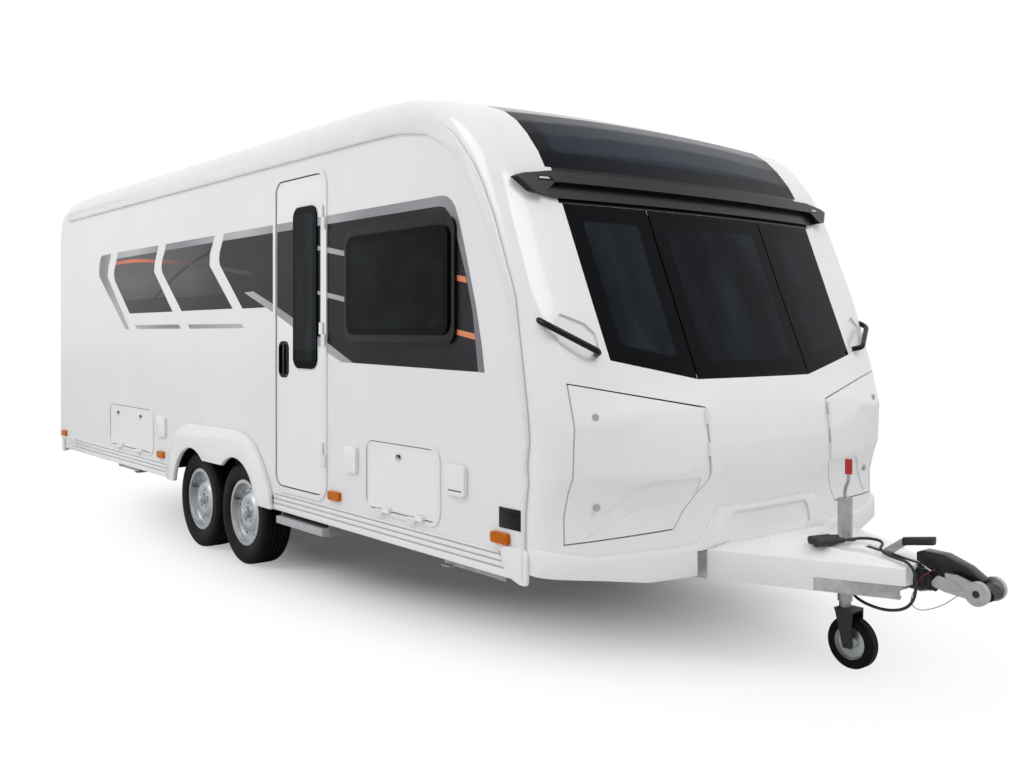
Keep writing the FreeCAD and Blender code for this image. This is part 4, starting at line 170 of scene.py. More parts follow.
def ramp_along(tree, axis, stops):
    """A colour that runs through hex values along one axis, at places in metres."""
    low, high = stops[0][0], stops[-1][0]
    place = add(tree, "ShaderNodeTexCoord")
    parts = add(tree, "ShaderNodeSeparateXYZ", {"Vector": place.outputs["Object"]})
    share = add(tree, "ShaderNodeMapRange", {"Value": parts.outputs[axis]}, From_Min=low, From_Max=high)
    ramp = add(tree, "ShaderNodeValToRGB", {"Fac": share.outputs["Result"]})
    elements = ramp.color_ramp.elements
    for at, colour in stops[1:-1]:
        elements.new((at - low) / (high - low)).color = linear(colour)
    elements[0].color = linear(stops[0][1])
    elements[-1].color = linear(stops[-1][1])
    return ramp.outputs["Color"]


def mottled(tree, shader, light, dark, scale, detail=3.0):
    """Varies the base colour gently between two hex colours with noise of a real size."""
    painted(tree, shader, blended(tree, cloudy(tree, scale, detail, low=0.3, high=0.7), light, dark))


def bumpy(tree, shader, scale, distance, strength=1.0, kind="ShaderNodeTexNoise"):
    """Adds a fine bump of a real height in metres."""
    place = add(tree, "ShaderNodeTexCoord")
    texture = add(tree, kind, {"Vector": place.outputs["Object"]}, Scale=scale)
    out = texture.outputs["Fac"] if "Fac" in texture.outputs else texture.outputs["Distance"]
    bump = add(tree, "ShaderNodeBump", {"Height": out}, Distance=distance, Strength=strength)
    tree.links.new(bump.outputs["Normal"], shader.inputs["Normal"])


# %% [markdown]
# ## Small helpers for pieces
#
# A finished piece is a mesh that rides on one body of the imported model. Each CAD solid arrives as loose
# triangles, so a welded copy stands in for it, with its shallow edges smoothed and its real corners kept
# sharp. A pressed or moulded edge is never quite sharp, so some copies get a small rounding as well. The
# alternative, a subdivision surface, would pull the outlines away from the solids.

# %% Helpers for meshes
WELD = 0.00002  # points closer than this become one point
SMOOTH_BELOW = 32.0  # degrees; an edge with a larger angle stays crisp


def plain_mesh(name, verts, faces):
    """A mesh from lists of points and faces."""
    mesh = bpy.data.meshes.new(name)
    mesh.from_pydata(verts, [], faces)
    return mesh


@contextmanager
def edited(mesh):
    """Opens a mesh for editing, and writes it back at the end of the with block."""
    work = bmesh.new()
    work.from_mesh(mesh)
    yield work
    work.to_mesh(mesh)
    work.free()


# %% Helpers for pieces
def own(name, mesh, body, material):
    """Puts a finished mesh in the scene, riding on a body."""
    piece = bpy.data.objects.new(name, mesh)
    bpy.context.scene.collection.objects.link(piece)
    if material is not None:
        mesh.materials.clear()
        mesh.materials.append(material)
    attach(piece, body)
    return piece


def smooth_edges(work, angle):
    """Smooth shading, with edges sharper than an angle kept crisp."""
    for face in work.faces:
        face.smooth = True
    limit = math.radians(angle)
    for edge in work.edges:
        edge.smooth = len(edge.link_faces) == 2 and edge.calc_face_angle(0.0) < limit


def rounded_corners(work, width):
    """Merges flat triangles into whole faces and rounds the corners between them."""
    flat, corner = math.radians(0.4), math.radians(40)
    bmesh.ops.dissolve_limit(work, angle_limit=flat, verts=work.verts, edges=work.edges)
    corners = [edge for edge in work.edges
               if len(edge.link_faces) == 2 and edge.calc_face_angle(0.0) > corner]
    bmesh.ops.bevel(work, geom=corners, offset=width, offset_type="OFFSET", segments=2, profile=0.5,
                    affect="EDGES", clamp_overlap=True)


def carry_over(node, material, rounding=0.0):
    """Replaces a CAD node by its welded and smoothed copy."""
    mesh = frame["nodes"][node].data.copy()
    mesh.name = node + "_skin"
    with edited(mesh) as work:
        bmesh.ops.remove_doubles(work, verts=work.verts, dist=WELD)
        if rounding:
            rounded_corners(work, rounding)
        smooth_edges(work, SMOOTH_BELOW)
    piece = own(node + "_skin", mesh, BODY_OF[node], material)
    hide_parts(node)
    return piece


# %% [markdown]
# ## The two cables
#
# The tow cable carries the lamps' power to the car. Here it is parked: it comes out under the drawbar,
# runs forwards, turns up in front of the cover and lies back over the housing, with its plug beside the
# jockey wheel's tube. The breakaway cable is a thin wire that pulls the handbrake if the coupling lets
# go. Each is a length of something flexible, so it is one smooth NURBS line with a round section.

# %% Cable rubber and the cables
# Extruded rubber has a soft sheen, not a gloss.
cable_rubber, tree, shader = new_material("black_cable_rubber", Roughness=0.5, IOR=1.5)
mottled(tree, shader, "#18191B", "#202123", 60.0)
bumpy(tree, shader, 500.0, 0.0001, 0.3)
# A dipped plastic coat makes the wire smoother than the cable.
red_wire, tree, shader = new_material("red_plastic_coated_wire", Roughness=0.35, IOR=1.5)
mottled(tree, shader, "#7E2A30", "#6B2228", 80.0)

TOW_ROUTE = [
    (3.2300, -0.0530, 0.3650), (3.2440, -0.0620, 0.3260), (3.2840, -0.0760, 0.3090),
    (3.3360, -0.0850, 0.2990), (3.3960, -0.0870, 0.2940), (3.4520, -0.0850, 0.3010),
    (3.5000, -0.0840, 0.3220), (3.5300, -0.0860, 0.3620), (3.5380, -0.0880, 0.4160),
    (3.5340, -0.0900, 0.4680), (3.5060, -0.0910, 0.5000), (3.4620, -0.0904, 0.5060),
    (3.4124, -0.0856, 0.5130), (3.3650, -0.0580, 0.5240), (3.3464, -0.0004, 0.5330),
    (3.3168, 0.0292, 0.5380), (3.2748, 0.0292, 0.5400), (3.2450, -0.0004, 0.5410),
    (3.2380, -0.0500, 0.5420), (3.2264, -0.0936, 0.5420), (3.2238, -0.1033, 0.5420),
]
BREAKAWAY_ROUTE = [
    (3.5840, -0.0304, 0.4780), (3.5660, -0.0500, 0.4660), (3.5400, -0.0610, 0.4430),
    (3.5240, -0.0620, 0.4050), (3.5060, -0.0620, 0.3680), (3.5000, -0.0610, 0.3430),
    (3.5120, -0.0600, 0.3230), (3.5350, -0.0590, 0.3160), (3.5620, -0.0580, 0.3220),
    (3.6040, -0.0560, 0.3400), (3.6430, -0.0530, 0.3640), (3.6760, -0.0357, 0.3960),
]


def laid_cable(name, route, thick, material):
    """A round cable on one smooth line, which stands for its CAD tube."""
    line = bpy.data.curves.new(name + "_line", "CURVE")
    line.dimensions = "3D"
    spline = line.splines.new("NURBS")
    spline.points.add(len(route) - 1)
    for point, at in zip(spline.points, route):
        point.co = (*at, 1.0)
    spline.order_u = 3
    spline.use_endpoint_u = True
    line.resolution_u = 10
    line.bevel_depth = thick / 2
    line.bevel_resolution = 5
    line.use_fill_caps = True
    line.materials.append(material)
    piece = bpy.data.objects.new(name + "_laid", line)
    bpy.context.scene.collection.objects.link(piece)
    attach(piece, BODY_OF[name])
    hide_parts(name)
    return piece


tow_plug = carry_over("tow_plug", cable_rubber)
tow_cable = laid_cable("tow_cable", TOW_ROUTE, 0.012, cable_rubber)
breakaway_cable = laid_cable("breakaway_cable", BREAKAWAY_ROUTE, 0.003, red_wire)
print("cables laid:", tow_cable.name, breakaway_cable.name)

# %% [markdown]
# ## The body's white
#
# The walls are aluminium sheet painted in a factory, and the front, rear and doors are moulded plastic
# in the same white. Both are glossy with a faint waviness, the orange peel that sprayed paint leaves.
# A clear coat gives the sharp highlight, and very weak noise keeps large panels from looking computed.

# %% Gloss white paint and moulded white plastic
# Aluminium sheet painted in a coil: an even gloss over a long, faint waviness.
white_paint, tree, shader = new_material("gloss_white_paint", Roughness=0.34, IOR=1.5, Coat_Weight=0.3,
                                         Coat_Roughness=0.1)
mottled(tree, shader, "#EFF0F0", "#EAEBEC", 0.9)
bumpy(tree, shader, 38.0, 0.0002, 0.3)

# Moulded plastic: a little whiter and glossier than the sheet, with longer waves.
moulded_white, tree, shader = new_material("moulded_white_plastic", Roughness=0.24, IOR=1.5, Coat_Weight=0.4,
                                           Coat_Roughness=0.06)
mottled(tree, shader, "#F3F4F4", "#EFF0F1", 1.4)
bumpy(tree, shader, 16.0, 0.0003, 0.25)

# Extruded aluminium, powder coated: a touch greyer, with a fine grain.
rail_white, tree, shader = new_material("coated_aluminium_rail", Roughness=0.3, IOR=1.5)
mottled(tree, shader, "#EDEEEE", "#E6E7E8", 3.0)
bumpy(tree, shader, 120.0, 0.0001, 0.3)
print("whites:", white_paint.name, moulded_white.name, rail_white.name)

# %% [markdown]
# ## Films on the wall
#
# The dark and silver shapes are vinyl films, printed with a slight shading and stuck flat on the paint.
# The silver one's pale and dark stretches along the wall are painted highlights and reflections, the
# look a metal film takes from the light, over a fine metallic fleck. Two of the dark panels are greyer
# in their middle, and a thin orange line fades out along them. A print like this is a gradient, so
# colour ramps along the wall's own length and height do it; they also carry the silver's painted
# highlights.

# %% Vinyl films
# The silver print: pale and dark patches along the wall are painted highlights and reflections, under a
# metallic fleck.
silver_film, tree, shader = new_material("silver_vinyl_film", Roughness=0.34, IOR=1.5)
sheen = [(-3.0, "#8D8A91"), (-2.6, "#77747B"), (-2.3, "#B0ADB3"), (-1.9, "#B9B7BB"), (-1.35, "#8A878E"),
         (-1.0, "#85828A"), (-0.55, "#A9A6AC"), (-0.1, "#BDBBBF"), (0.4, "#9A979D"), (0.9, "#B5B2B8"),
         (1.3, "#8E8B92"), (1.9, "#97949A"), (2.1, "#84818A"), (2.3, "#6F6D75")]
fleck = blended(tree, cloudy(tree, 260.0, 1.0), "#F4F4F4", "#FFFFFF")
painted(tree, shader, multiplied(tree, ramp_along(tree, "X", sheen), fleck))

# The two greyer panels: darker towards their lower edge, with faint streaks.
grey_film, tree, shader = new_material("dark_grey_vinyl_film", Roughness=0.3, IOR=1.5,
                                       Specular_IOR_Level=0.2)
along = ramp_along(tree, "X", [(-2.75, "#54525A"), (-2.3, "#4A484D"), (-1.8, "#5A585D"), (-1.35, "#504E53"),
                               (-0.9, "#4D4A51"), (-0.5, "#343236")])
down = ramp_along(tree, "Z", [(1.50, "#7C7C7C"), (1.64, "#CFCFCF"), (1.75, "#FFFFFF"), (1.95, "#D8D8D8")])
streak = blended(tree, cloudy(tree, 1.6, 2.0, (1.0, 1.0, 4.0)), "#E2E2E2", "#FFFFFF")
painted(tree, shader, multiplied(tree, multiplied(tree, along, down), streak))

# The long front panel is nearly black, and a little paler at its front end.
black_film, tree, shader = new_material("black_vinyl_film", Roughness=0.3, IOR=1.5,
                                        Specular_IOR_Level=0.15)
along = ramp_along(tree, "X", [(-0.5, "#1B1A1D"), (0.1, "#232225"), (0.8, "#151416"), (1.6, "#1A191C"),
                               (2.2, "#302E33")])
streak = blended(tree, cloudy(tree, 1.3, 2.0, (1.0, 1.0, 3.0)), "#C8C8C8", "#FFFFFF")
painted(tree, shader, multiplied(tree, along, streak))

# The dark band and the curved line that cross the grey panels.
band_film, tree, shader = new_material("printed_dark_band_film", Roughness=0.3, IOR=1.5,
                                       Specular_IOR_Level=0.15)
along = ramp_along(tree, "X", [(-2.3, "#2B2A2D"), (-1.6, "#1E1D20"), (-1.0, "#242326"), (-0.2, "#141315")])
painted(tree, shader, along)

# The short stripes ahead of the window are one flat orange.
orange_film, tree, shader = new_material("orange_vinyl_film", Roughness=0.35, IOR=1.5)
mottled(tree, shader, "#E07C55", "#E58A62", 9.0)

# The long thin line glows orange at the rear and fades into the black.
fading_film, tree, shader = new_material("fading_orange_print_film", Roughness=0.32, IOR=1.5,
                                         Specular_IOR_Level=0.35)
along = ramp_along(tree, "X", [(-2.3, "#C8592E"), (-1.95, "#E26A33"), (-1.5, "#A8472B"), (-1.25, "#713528"),
                               (-0.95, "#3A2220"), (-0.7, "#1A181A")])
painted(tree, shader, along)
print("the silver sheen changes at", len(sheen), "places along the wall")

# %% [markdown]
# ## Windows
#
# Caravan windows are tinted acrylic with a border printed black on the inside, which hides the glue.
# From outside they look nearly black, and the field inside the border is a little lighter and bluer.
# Its soft clouds are painted reflections and painted shade of the dim inside, drawn into the colour.
# The mesh carries each place's distance from its rim, and the material turns that into the border.

# %% Acrylic with a printed border
BORDER_FADE = 0.012


def glazing(name, border, light, dark, width, scale, stretch, shine):
    """Tinted acrylic whose edge is printed over a width in metres; scale and stretch are the clouds'."""
    material, tree, shader = new_material(name, Roughness=0.04, IOR=1.49, Specular_IOR_Level=shine)
    rim = add(tree, "ShaderNodeAttribute", attribute_name="rim_distance")
    inside = add(tree, "ShaderNodeMapRange", {"Value": rim.outputs["Fac"]},
                 interpolation_type="SMOOTHSTEP", From_Min=width, From_Max=width + BORDER_FADE)
    # The field's clouds are painted reflections and painted shade of the inside, not seen through the pane.
    field = blended(tree, cloudy(tree, scale, 4.0, stretch, 0.38, 0.68), dark, light)
    painted(tree, shader, blended(tree, inside.outputs["Result"], border, field))
    return material


front_acrylic = glazing("tinted_front_acrylic", "#05070C", "#262D36", "#090D13", width=0.075,
                        scale=1.5, stretch=(0.7, 2.4, 0.8), shine=0.06)
roof_acrylic = glazing("tinted_roof_acrylic", "#0A0E16", "#2A3444", "#18202C", width=0.085,
                       scale=1.1, stretch=(0.6, 0.6, 1.6), shine=0.07)
side_acrylic = glazing("tinted_side_acrylic", "#040505", "#141C19", "#050808", width=0.03,
                       scale=3.4, stretch=(1.0, 1.0, 1.6), shine=0.05)
door_acrylic = glazing("tinted_door_acrylic", "#040506", "#1B272D", "#070C0F", width=0.034,
                       scale=3.2, stretch=(3.0, 1.0, 0.5), shine=0.05)
print("panes of", front_acrylic.name, roof_acrylic.name, side_acrylic.name, door_acrylic.name)

# %% [markdown]
# ## Trim, rubber and metals
#
# The trim is black moulded plastic with a fine grain, and the tyres are rubber with a dull bloom. The
# chassis is dipped in zinc, which leaves a pattern of crystals called spangle. The wheels and the
# coupling's arms are painted silver, which is a little rough and slightly metallic.

# %% Plastics and rubber
# Handles and small fittings: plastic from a grained mould, which breaks the highlight up.
black_plastic, tree, shader = new_material("grained_black_plastic", Roughness=0.42, IOR=1.5,
                                           Specular_IOR_Level=0.4)
mottled(tree, shader, "#151618", "#1C1D20", 25.0)
bumpy(tree, shader, 900.0, 0.0001, 0.4)

# The visor bar: a satin moulding with a broad, dim reflection of the sky.
satin_black, tree, shader = new_material("satin_black_moulding", Roughness=0.3, IOR=1.5,
                                         Specular_IOR_Level=0.3)
mottled(tree, shader, "#121316", "#18191D", 3.0)
bumpy(tree, shader, 400.0, 0.0001, 0.2)

# Window frames and handles: polished moulds, so a small sharp reflection on a deep black.
gloss_black, tree, shader = new_material("gloss_black_moulding", Roughness=0.1, IOR=1.5,
                                         Specular_IOR_Level=0.2)
mottled(tree, shader, "#060708", "#0B0C0D", 6.0)

# Extruded foam rubber: dull, and paler than the plastic.
seal_rubber, tree, shader = new_material("black_seal_rubber", Roughness=0.6, IOR=1.5, Specular_IOR_Level=0.3)
mottled(tree, shader, "#1A1B1C", "#242526", 40.0)

# Soft grey plastic with a fine grain.
grey_plastic, tree, shader = new_material("grey_moulded_plastic", Roughness=0.45, IOR=1.5)
mottled(tree, shader, "#B9BBBE", "#AEB0B4", 12.0)
bumpy(tree, shader, 700.0, 0.0001, 0.3)

# Tyre rubber is nearly black and dull, with a slight bloom that varies over its sides.
tyre_rubber, tree, shader = new_material("tyre_rubber", Roughness=0.55, IOR=1.5, Specular_IOR_Level=0.12)
mottled(tree, shader, "#0A0A0B", "#121213", 14.0)
bumpy(tree, shader, 260.0, 0.0003, 0.3)

# A smooth red cap on the jockey wheel's crank.
red_knob, tree, shader = new_material("red_knob_plastic", Roughness=0.3, IOR=1.5)
mottled(tree, shader, "#B3262B", "#A81F24", 30.0)
print("plastics and rubber:", black_plastic.name, satin_black.name, gloss_black.name, seal_rubber.name,
      grey_plastic.name, tyre_rubber.name, red_knob.name)

# %% Metals and boards
# Hot-dipped zinc: each spangle reflects a slightly different grey. Drawn coarser than it is, to show.
galvanised, tree, shader = new_material("galvanised_steel", Metallic=0.85, Roughness=0.45)
place = add(tree, "ShaderNodeTexCoord")
cells = add(tree, "ShaderNodeTexVoronoi", {"Vector": place.outputs["Object"]}, Scale=70.0)
spangle = blended(tree, cells.outputs["Color"], "#B2B4B6", "#C2C4C5")
weather = blended(tree, cloudy(tree, 9.0, 4.0), "#D9D8D5", "#FFFFFF")
painted(tree, shader, multiplied(tree, spangle, weather))

# Sprayed silver on pressed steel: bright, slightly blurred reflections.
wheel_silver, tree, shader = new_material("silver_wheel_paint", Metallic=0.85, Roughness=0.3)
mottled(tree, shader, "#B9BCBF", "#C6C9CB", 18.0)

# A lacquered casting is duller, because its skin is rough under the paint.
silver_lacquer, tree, shader = new_material("silver_lacquered_casting", Metallic=0.4, Roughness=0.33)
mottled(tree, shader, "#B4B6B8", "#A6A8AB", 30.0)
bumpy(tree, shader, 500.0, 0.0001, 0.3)

# Brushed-on black paint, with the brush's small waves.
black_steel, tree, shader = new_material("painted_black_steel", Roughness=0.4, IOR=1.5)
mottled(tree, shader, "#1A1B1D", "#242628", 20.0)
bumpy(tree, shader, 300.0, 0.0002, 0.3)

# Bare boards inside, seen only faintly through the windows, and the plywood floor below.
bench_board, tree, shader = new_material("pale_bench_board", Roughness=0.6)
mottled(tree, shader, "#8C7F6E", "#9C8F7C", 3.0)
floor_board, tree, shader = new_material("plywood_floor", Roughness=0.7)
mottled(tree, shader, "#4B453D", "#5A5248", 6.0)
print("metals and boards:", galvanised.name, wheel_silver.name, silver_lacquer.name, black_steel.name,
      bench_board.name, floor_board.name)


# %% Lamp lenses
def lens(name, light, dark):
    """A moulded lamp lens with the fine ribs that spread the light."""
    material, tree, shader = new_material(name, Roughness=0.25, IOR=1.5, Specular_IOR_Level=0.12)
    mottled(tree, shader, light, dark, 30.0)
    bumpy(tree, shader, 140.0, 0.0004, 0.5, "ShaderNodeTexVoronoi")
    return material


orange_lens = lens("orange_lamp_lens", "#CF6E0A", "#B85C04")
red_lens = lens("red_lamp_lens", "#A81418", "#8F0F12")
clear_lens = lens("clear_lamp_lens", "#E3E5E7", "#D2D5D8")
print("lenses:", orange_lens.name, red_lens.name, clear_lens.name)

# %% [markdown]
# ## Carrying the solids over
#
# Each node gets the finish of its material slot, unless it has one of its own. Where one node holds
# pieces of different stuff, such as the hand levers, faces in a given region take another material.

# %% Finishes by slot and by node
FINISH = {
    "white_panel": white_paint, "pale_rail": rail_white, "floor_board": floor_board,
    "dark_plastic": black_plastic, "tinted_window": gloss_black, "orange_lens": orange_lens,
    "red_lens": red_lens, "galvanised": galvanised, "coupling_metal": silver_lacquer,
    "cover_grey": grey_plastic, "wheel_steel": wheel_silver, "tyre": tyre_rubber,
    "rubber_grey": tyre_rubber,
}
OWN_FINISH = {
    "front_panel": moulded_white, "rear_panel": moulded_white, "gas_door_right": moulded_white,
    "gas_door_left": moulded_white, "front_fairing": moulded_white, "rear_bumper": moulded_white,
    "wheel_arches": moulded_white, "skirts": moulded_white, "service_hatches": moulded_white,
    "rooflights": moulded_white, "drawbar_cover": moulded_white, "entrance_door": moulded_white,
    "locker_door_front": moulded_white, "locker_door_rear": moulded_white, "roof_window": roof_acrylic,
    "front_windows": front_acrylic, "door_window": door_acrylic, "visor": satin_black,
    "furniture": bench_board,
    "wheel_boxes": black_plastic, "overrun_housing": galvanised, "draw_tube": galvanised,
    "grab_handles": gloss_black, "jockey_fork": black_steel, "jockey_tube": silver_lacquer,
}
ROUNDING = {
    "wheel_arches": 0.009, "skirts": 0.003, "service_hatches": 0.003, "awning_rails": 0.006,
    "drawbar_cover": 0.006, "hand_levers": 0.004, "entrance_step": 0.004, "rooflights": 0.008,
    "overrun_housing": 0.002, "front_fairing": 0.004,
}


# %% Parts of a node with another finish
def near(axes, middle, reach, start=0.0):
    """Tells whether a face lies within reach of a place, seen along one axis, on either hand."""
    def inside(centre):
        return start < math.hypot(*(abs(centre[i]) - at for i, at in zip(axes, middle))) < reach
    return inside


GRIP_X, GRIP_Z, GRIP_RISE = 3.437, 0.5425, 0.159
LOCK_RADIUS = 0.0146
locks = [(near((1, 2), (0.981, 1.052), LOCK_RADIUS), silver_lacquer),
         (near((1, 2), (0.9454, 0.6915), LOCK_RADIUS), silver_lacquer)]
REGIONS = {
    # Only the marker lamps at the nose are clear.
    "marker_lamps": [(lambda c: c.x > 2.5, clear_lens)],
    # The blank plate near the nose is gloss black. The faces set back between the vent's louvres take black
    # plastic, which is painted shade in the slots.
    "service_hatches": [(lambda c: c.x > 2.3, gloss_black),
                        (lambda c: 1.99 < c.x < 2.10 and 1.18 < abs(c.y) < 1.1845 and 0.70 < c.z < 0.805,
                         black_plastic)],
    # The coupling's handle lies in front; the brake lever's grip lies above a line that rises forwards.
    "hand_levers": [(lambda c: c.x > 3.506 and c.z < 0.5415, satin_black),
                    (lambda c: c.x > 3.421 and c.z > GRIP_Z + (c.x - GRIP_X) * GRIP_RISE, black_plastic)],
    # The head's black cover on top, and the discs on its sides.
    "coupling_head": [(lambda c: c.x > 3.70 and abs(c.y) < 0.0345 and c.z > 0.39, black_plastic),
                      (lambda c: abs(c.y) > 0.0755, black_plastic)],
    # What stands out round the draw tube is its rubber gaiter.
    "draw_tube": [(near((1, 2), (0.0, 0.424), 0.1, start=0.0255), seal_rubber)],
    "jockey_crank": [(lambda c: c.z > 0.8005, red_knob)],
    "jockey_wheel": [(near((0, 2), (3.208, 0.107), 0.069), wheel_silver)],
    # The entrance door's pull.
    "entrance_door": [(lambda c: 0.380 < c.x < 0.484 and 1.136 < c.z < 1.333, gloss_black)],
    "gas_door_right": locks,
    "gas_door_left": locks,
    # The locker doors' latches.
    "locker_door_front": [(lambda c: c.y < -SIDE - 0.0002 and abs(c.z - 0.82) < 0.02, black_plastic)],
    "locker_door_rear": [(lambda c: c.y < -SIDE - 0.0002 and abs(c.z - 0.79) < 0.02, black_plastic)],
}
print("nodes with more than one finish:", len(REGIONS))

# %% Welded copies of the solids
TYRES = [node for node in frame["nodes"] if node.startswith("tyre_")]
SKIN = {"tow_plug": tow_plug}
LAID = ("tow_cable", "breakaway_cable")
for node in frame["nodes"]:
    if node in SKIN or node in TYRES or node in LAID:
        continue
    finish = OWN_FINISH.get(node, FINISH[SLOT_OF[node]])
    SKIN[node] = carry_over(node, finish, rounding=ROUNDING.get(node, 0.0))
    mesh = SKIN[node].data
    for inside, finish in REGIONS.get(node, []):
        mesh.materials.append(finish)
        for face in mesh.polygons:
            if inside(face.center):
                face.material_index = len(mesh.materials) - 1
print("welded copies:", len(SKIN))

# %% [markdown]
# ## The printed borders
#
# A border needs the distance to the pane's rim at many places, so each pane is first cut into a fine
# grid. The rim is the edge between the faces that look outwards and the others. A search tree over
# points set close together along the rim gives each vertex its distance.

# %% Distance from the rim
RIM_STEP = 0.004


def cut_in_grid(work, facing, spacing):
    """Cuts a mesh along planes a spacing apart, except across the way it faces."""
    for axis in range(3):
        if abs(facing[axis]) > 0.9:
            continue
        values = [v.co[axis] for v in work.verts]
        steps = int((max(values) - min(values)) / spacing)
        for step in range(1, steps + 1):
            at = Vector((0, 0, 0))
            at[axis] = min(values) + step * spacing
            normal = Vector((0, 0, 0))
            normal[axis] = 1.0
            whole = work.verts[:] + work.edges[:] + work.faces[:]
            bmesh.ops.bisect_plane(work, geom=whole, plane_co=at, plane_no=normal, dist=0.0002)
    work.normal_update()


def points_on_rim(work, front):
    """A search tree of points along the edges where the front faces end."""
    marks = []
    for edge in work.edges:
        if len([face for face in edge.link_faces if face in front]) == 1:
            a, b = (vert.co for vert in edge.verts)
            parts = max(1, math.ceil((b - a).length / RIM_STEP))
            marks += [a.lerp(b, part / parts) for part in range(parts + 1)]
    tree = KDTree(len(marks))
    for number, at in enumerate(marks):
        tree.insert(at, number)
    tree.balance()
    return tree


def mark_rim(mesh, facing, spacing=0.03, limit=0.5, choose=None, material_index=None):
    """Stores on a pane's outer faces each vertex's distance from the rim; returns their number."""
    with edited(mesh) as work:
        cut_in_grid(work, facing, spacing)
        front = {face for face in work.faces if face.normal.dot(facing) > limit
                 and (choose is None or choose(face.calc_center_median()))}
        tree = points_on_rim(work, front)
        layers = work.verts.layers.float
        layer = layers.get("rim_distance") or layers.new("rim_distance")
        for face in front:
            if material_index is not None:
                face.material_index = material_index
            for vert in face.verts:
                vert[layer] = tree.find(vert.co)[2]
        smooth_edges(work, SMOOTH_BELOW)
        return len(front)


# The way each pane looks.
GLAZED = {"front_windows": Vector((1, 0, 0)), "roof_window": Vector((0.6, 0, 0.8)),
          "door_window": Vector((0, -1, 0))}
for node, facing in GLAZED.items():
    count = mark_rim(SKIN[node].data, facing.normalized())
    print("outer faces of", node, count)

# %% Side windows: a gloss frame with an acrylic pane
windows = SKIN["body_windows"].data
windows.materials.append(side_acrylic)
PANE_STANDS, REAR_PANE_X = 0.0255, -3.78
HANDS = ((-1, "right"), (1, "left"))  # the sign of Y on each side
for way, hand in HANDS:
    count = mark_rim(windows, Vector((0, way, 0)), spacing=0.06, limit=0.999,
                     choose=lambda c: abs(c.y) > SIDE + PANE_STANDS, material_index=1)
    print("window faces on the", hand, count)
count = mark_rim(windows, Vector((-1, 0, 0)), spacing=0.06, limit=0.99,
                 choose=lambda c: c.x < REAR_PANE_X, material_index=1)
print("window faces at the rear", count)

# %% [markdown]
# ## Pieces that repeat
#
# Tread blocks, screws and step ribs are one small shape set out along a line or round an axle. A short
# Geometry Nodes tree does both: it puts a copy on each point of a line, turns each one by the same
# angle more than the last, and joins the copies into one mesh.

# %% A Geometry Nodes tree that repeats a shape
REPEAT = bpy.data.node_groups.new("repeat_a_shape", "GeometryNodeTree")
for label, kind in (("Shape", "NodeSocketObject"), ("Count", "NodeSocketInt"),
                    ("Start", "NodeSocketVector"), ("Step", "NodeSocketVector"),
                    ("Turn", "NodeSocketVector"), ("Finish", "NodeSocketMaterial")):
    REPEAT.interface.new_socket(label, in_out="INPUT", socket_type=kind)
REPEAT.interface.new_socket("Geometry", in_out="OUTPUT", socket_type="NodeSocketGeometry")
INPUT_OF = {item.name: item.identifier for item in REPEAT.interface.items_tree
            if item.in_out == "INPUT"}
given = add(REPEAT, "NodeGroupInput").outputs
line = add(REPEAT, "GeometryNodeMeshLine", mode="OFFSET",
           links={"Count": given["Count"], "Start Location": given["Start"], "Offset": given["Step"]})
shape = add(REPEAT, "GeometryNodeObjectInfo", {"Object": given["Shape"]})
index = add(REPEAT, "GeometryNodeInputIndex")
turned = add(REPEAT, "ShaderNodeVectorMath", {0: given["Turn"], "Scale": index.outputs[0]},
             operation="SCALE")
copies = add(REPEAT, "GeometryNodeInstanceOnPoints",
             {"Points": line.outputs["Mesh"], "Instance": shape.outputs["Geometry"],
              "Rotation": turned.outputs["Vector"]})
real = add(REPEAT, "GeometryNodeRealizeInstances", {"Geometry": copies.outputs["Instances"]})
merged = add(REPEAT, "GeometryNodeMergeByDistance", {"Geometry": real.outputs["Geometry"]}, Distance=WELD)
done = add(REPEAT, "GeometryNodeSetMaterial",
           {"Geometry": merged.outputs["Geometry"], "Material": given["Finish"]})
add(REPEAT, "NodeGroupOutput", {"Geometry": done.outputs["Geometry"]})
print("inputs of the repeat tree:", list(INPUT_OF))


def repeated(name, mesh, body, finish, count, start, step=(0, 0, 0), turn=(0, 0, 0)):
    """Sets out copies of a small mesh by the tree above, and keeps the result as a plain mesh."""
    source = bpy.data.objects.new(name + "_one", mesh)
    holder = bpy.data.objects.new(name + "_many", bpy.data.meshes.new(name + "_many"))
    for item in (source, holder):
        bpy.context.scene.collection.objects.link(item)
    modifier = holder.modifiers.new("repeat", "NODES")
    modifier.node_group = REPEAT
    values = {"Shape": source, "Count": count, "Start": start, "Step": step, "Turn": turn, "Finish": finish}
    for label, value in values.items():
        modifier[INPUT_OF[label]] = value
    seen = holder.evaluated_get(bpy.context.evaluated_depsgraph_get())
    made = bpy.data.meshes.new_from_object(seen)
    made.name = name
    bpy.data.objects.remove(holder)
    bpy.data.objects.remove(source)
    with edited(made) as work:
        smooth_edges(work, SMOOTH_BELOW)
    return own(name, made, body, finish)


# %% [markdown]
# ## Tyres
#
# A road tyre has round grooves, a shoulder cut into blocks and a sidewall with a few raised rings. All
# of that repeats every five degrees, so one slice is drawn from its section and set out 72 times round
# the axle by the repeat tree. The joins merge, and the result is one closed ring.

# %% Faces between rings of points
def between_rings(rings, count, closed=False):
    """Four-sided faces that join each ring of points to the next one."""
    faces = []
    for ring in range(rings if closed else rings - 1):
        here, there = ring * count, (ring + 1) % rings * count
        for step in range(count):
            following = (step + 1) % count
            faces.append((here + step, here + following, there + following, there + step))
    return faces


# %% One slice of a tyre
SLICES = 72
SLICE_TURN = math.radians(360 / SLICES)
NOTCH_DEEP, SHOULDER_ACROSS, SHOULDER_RADIUS = 3.5, 48, 284
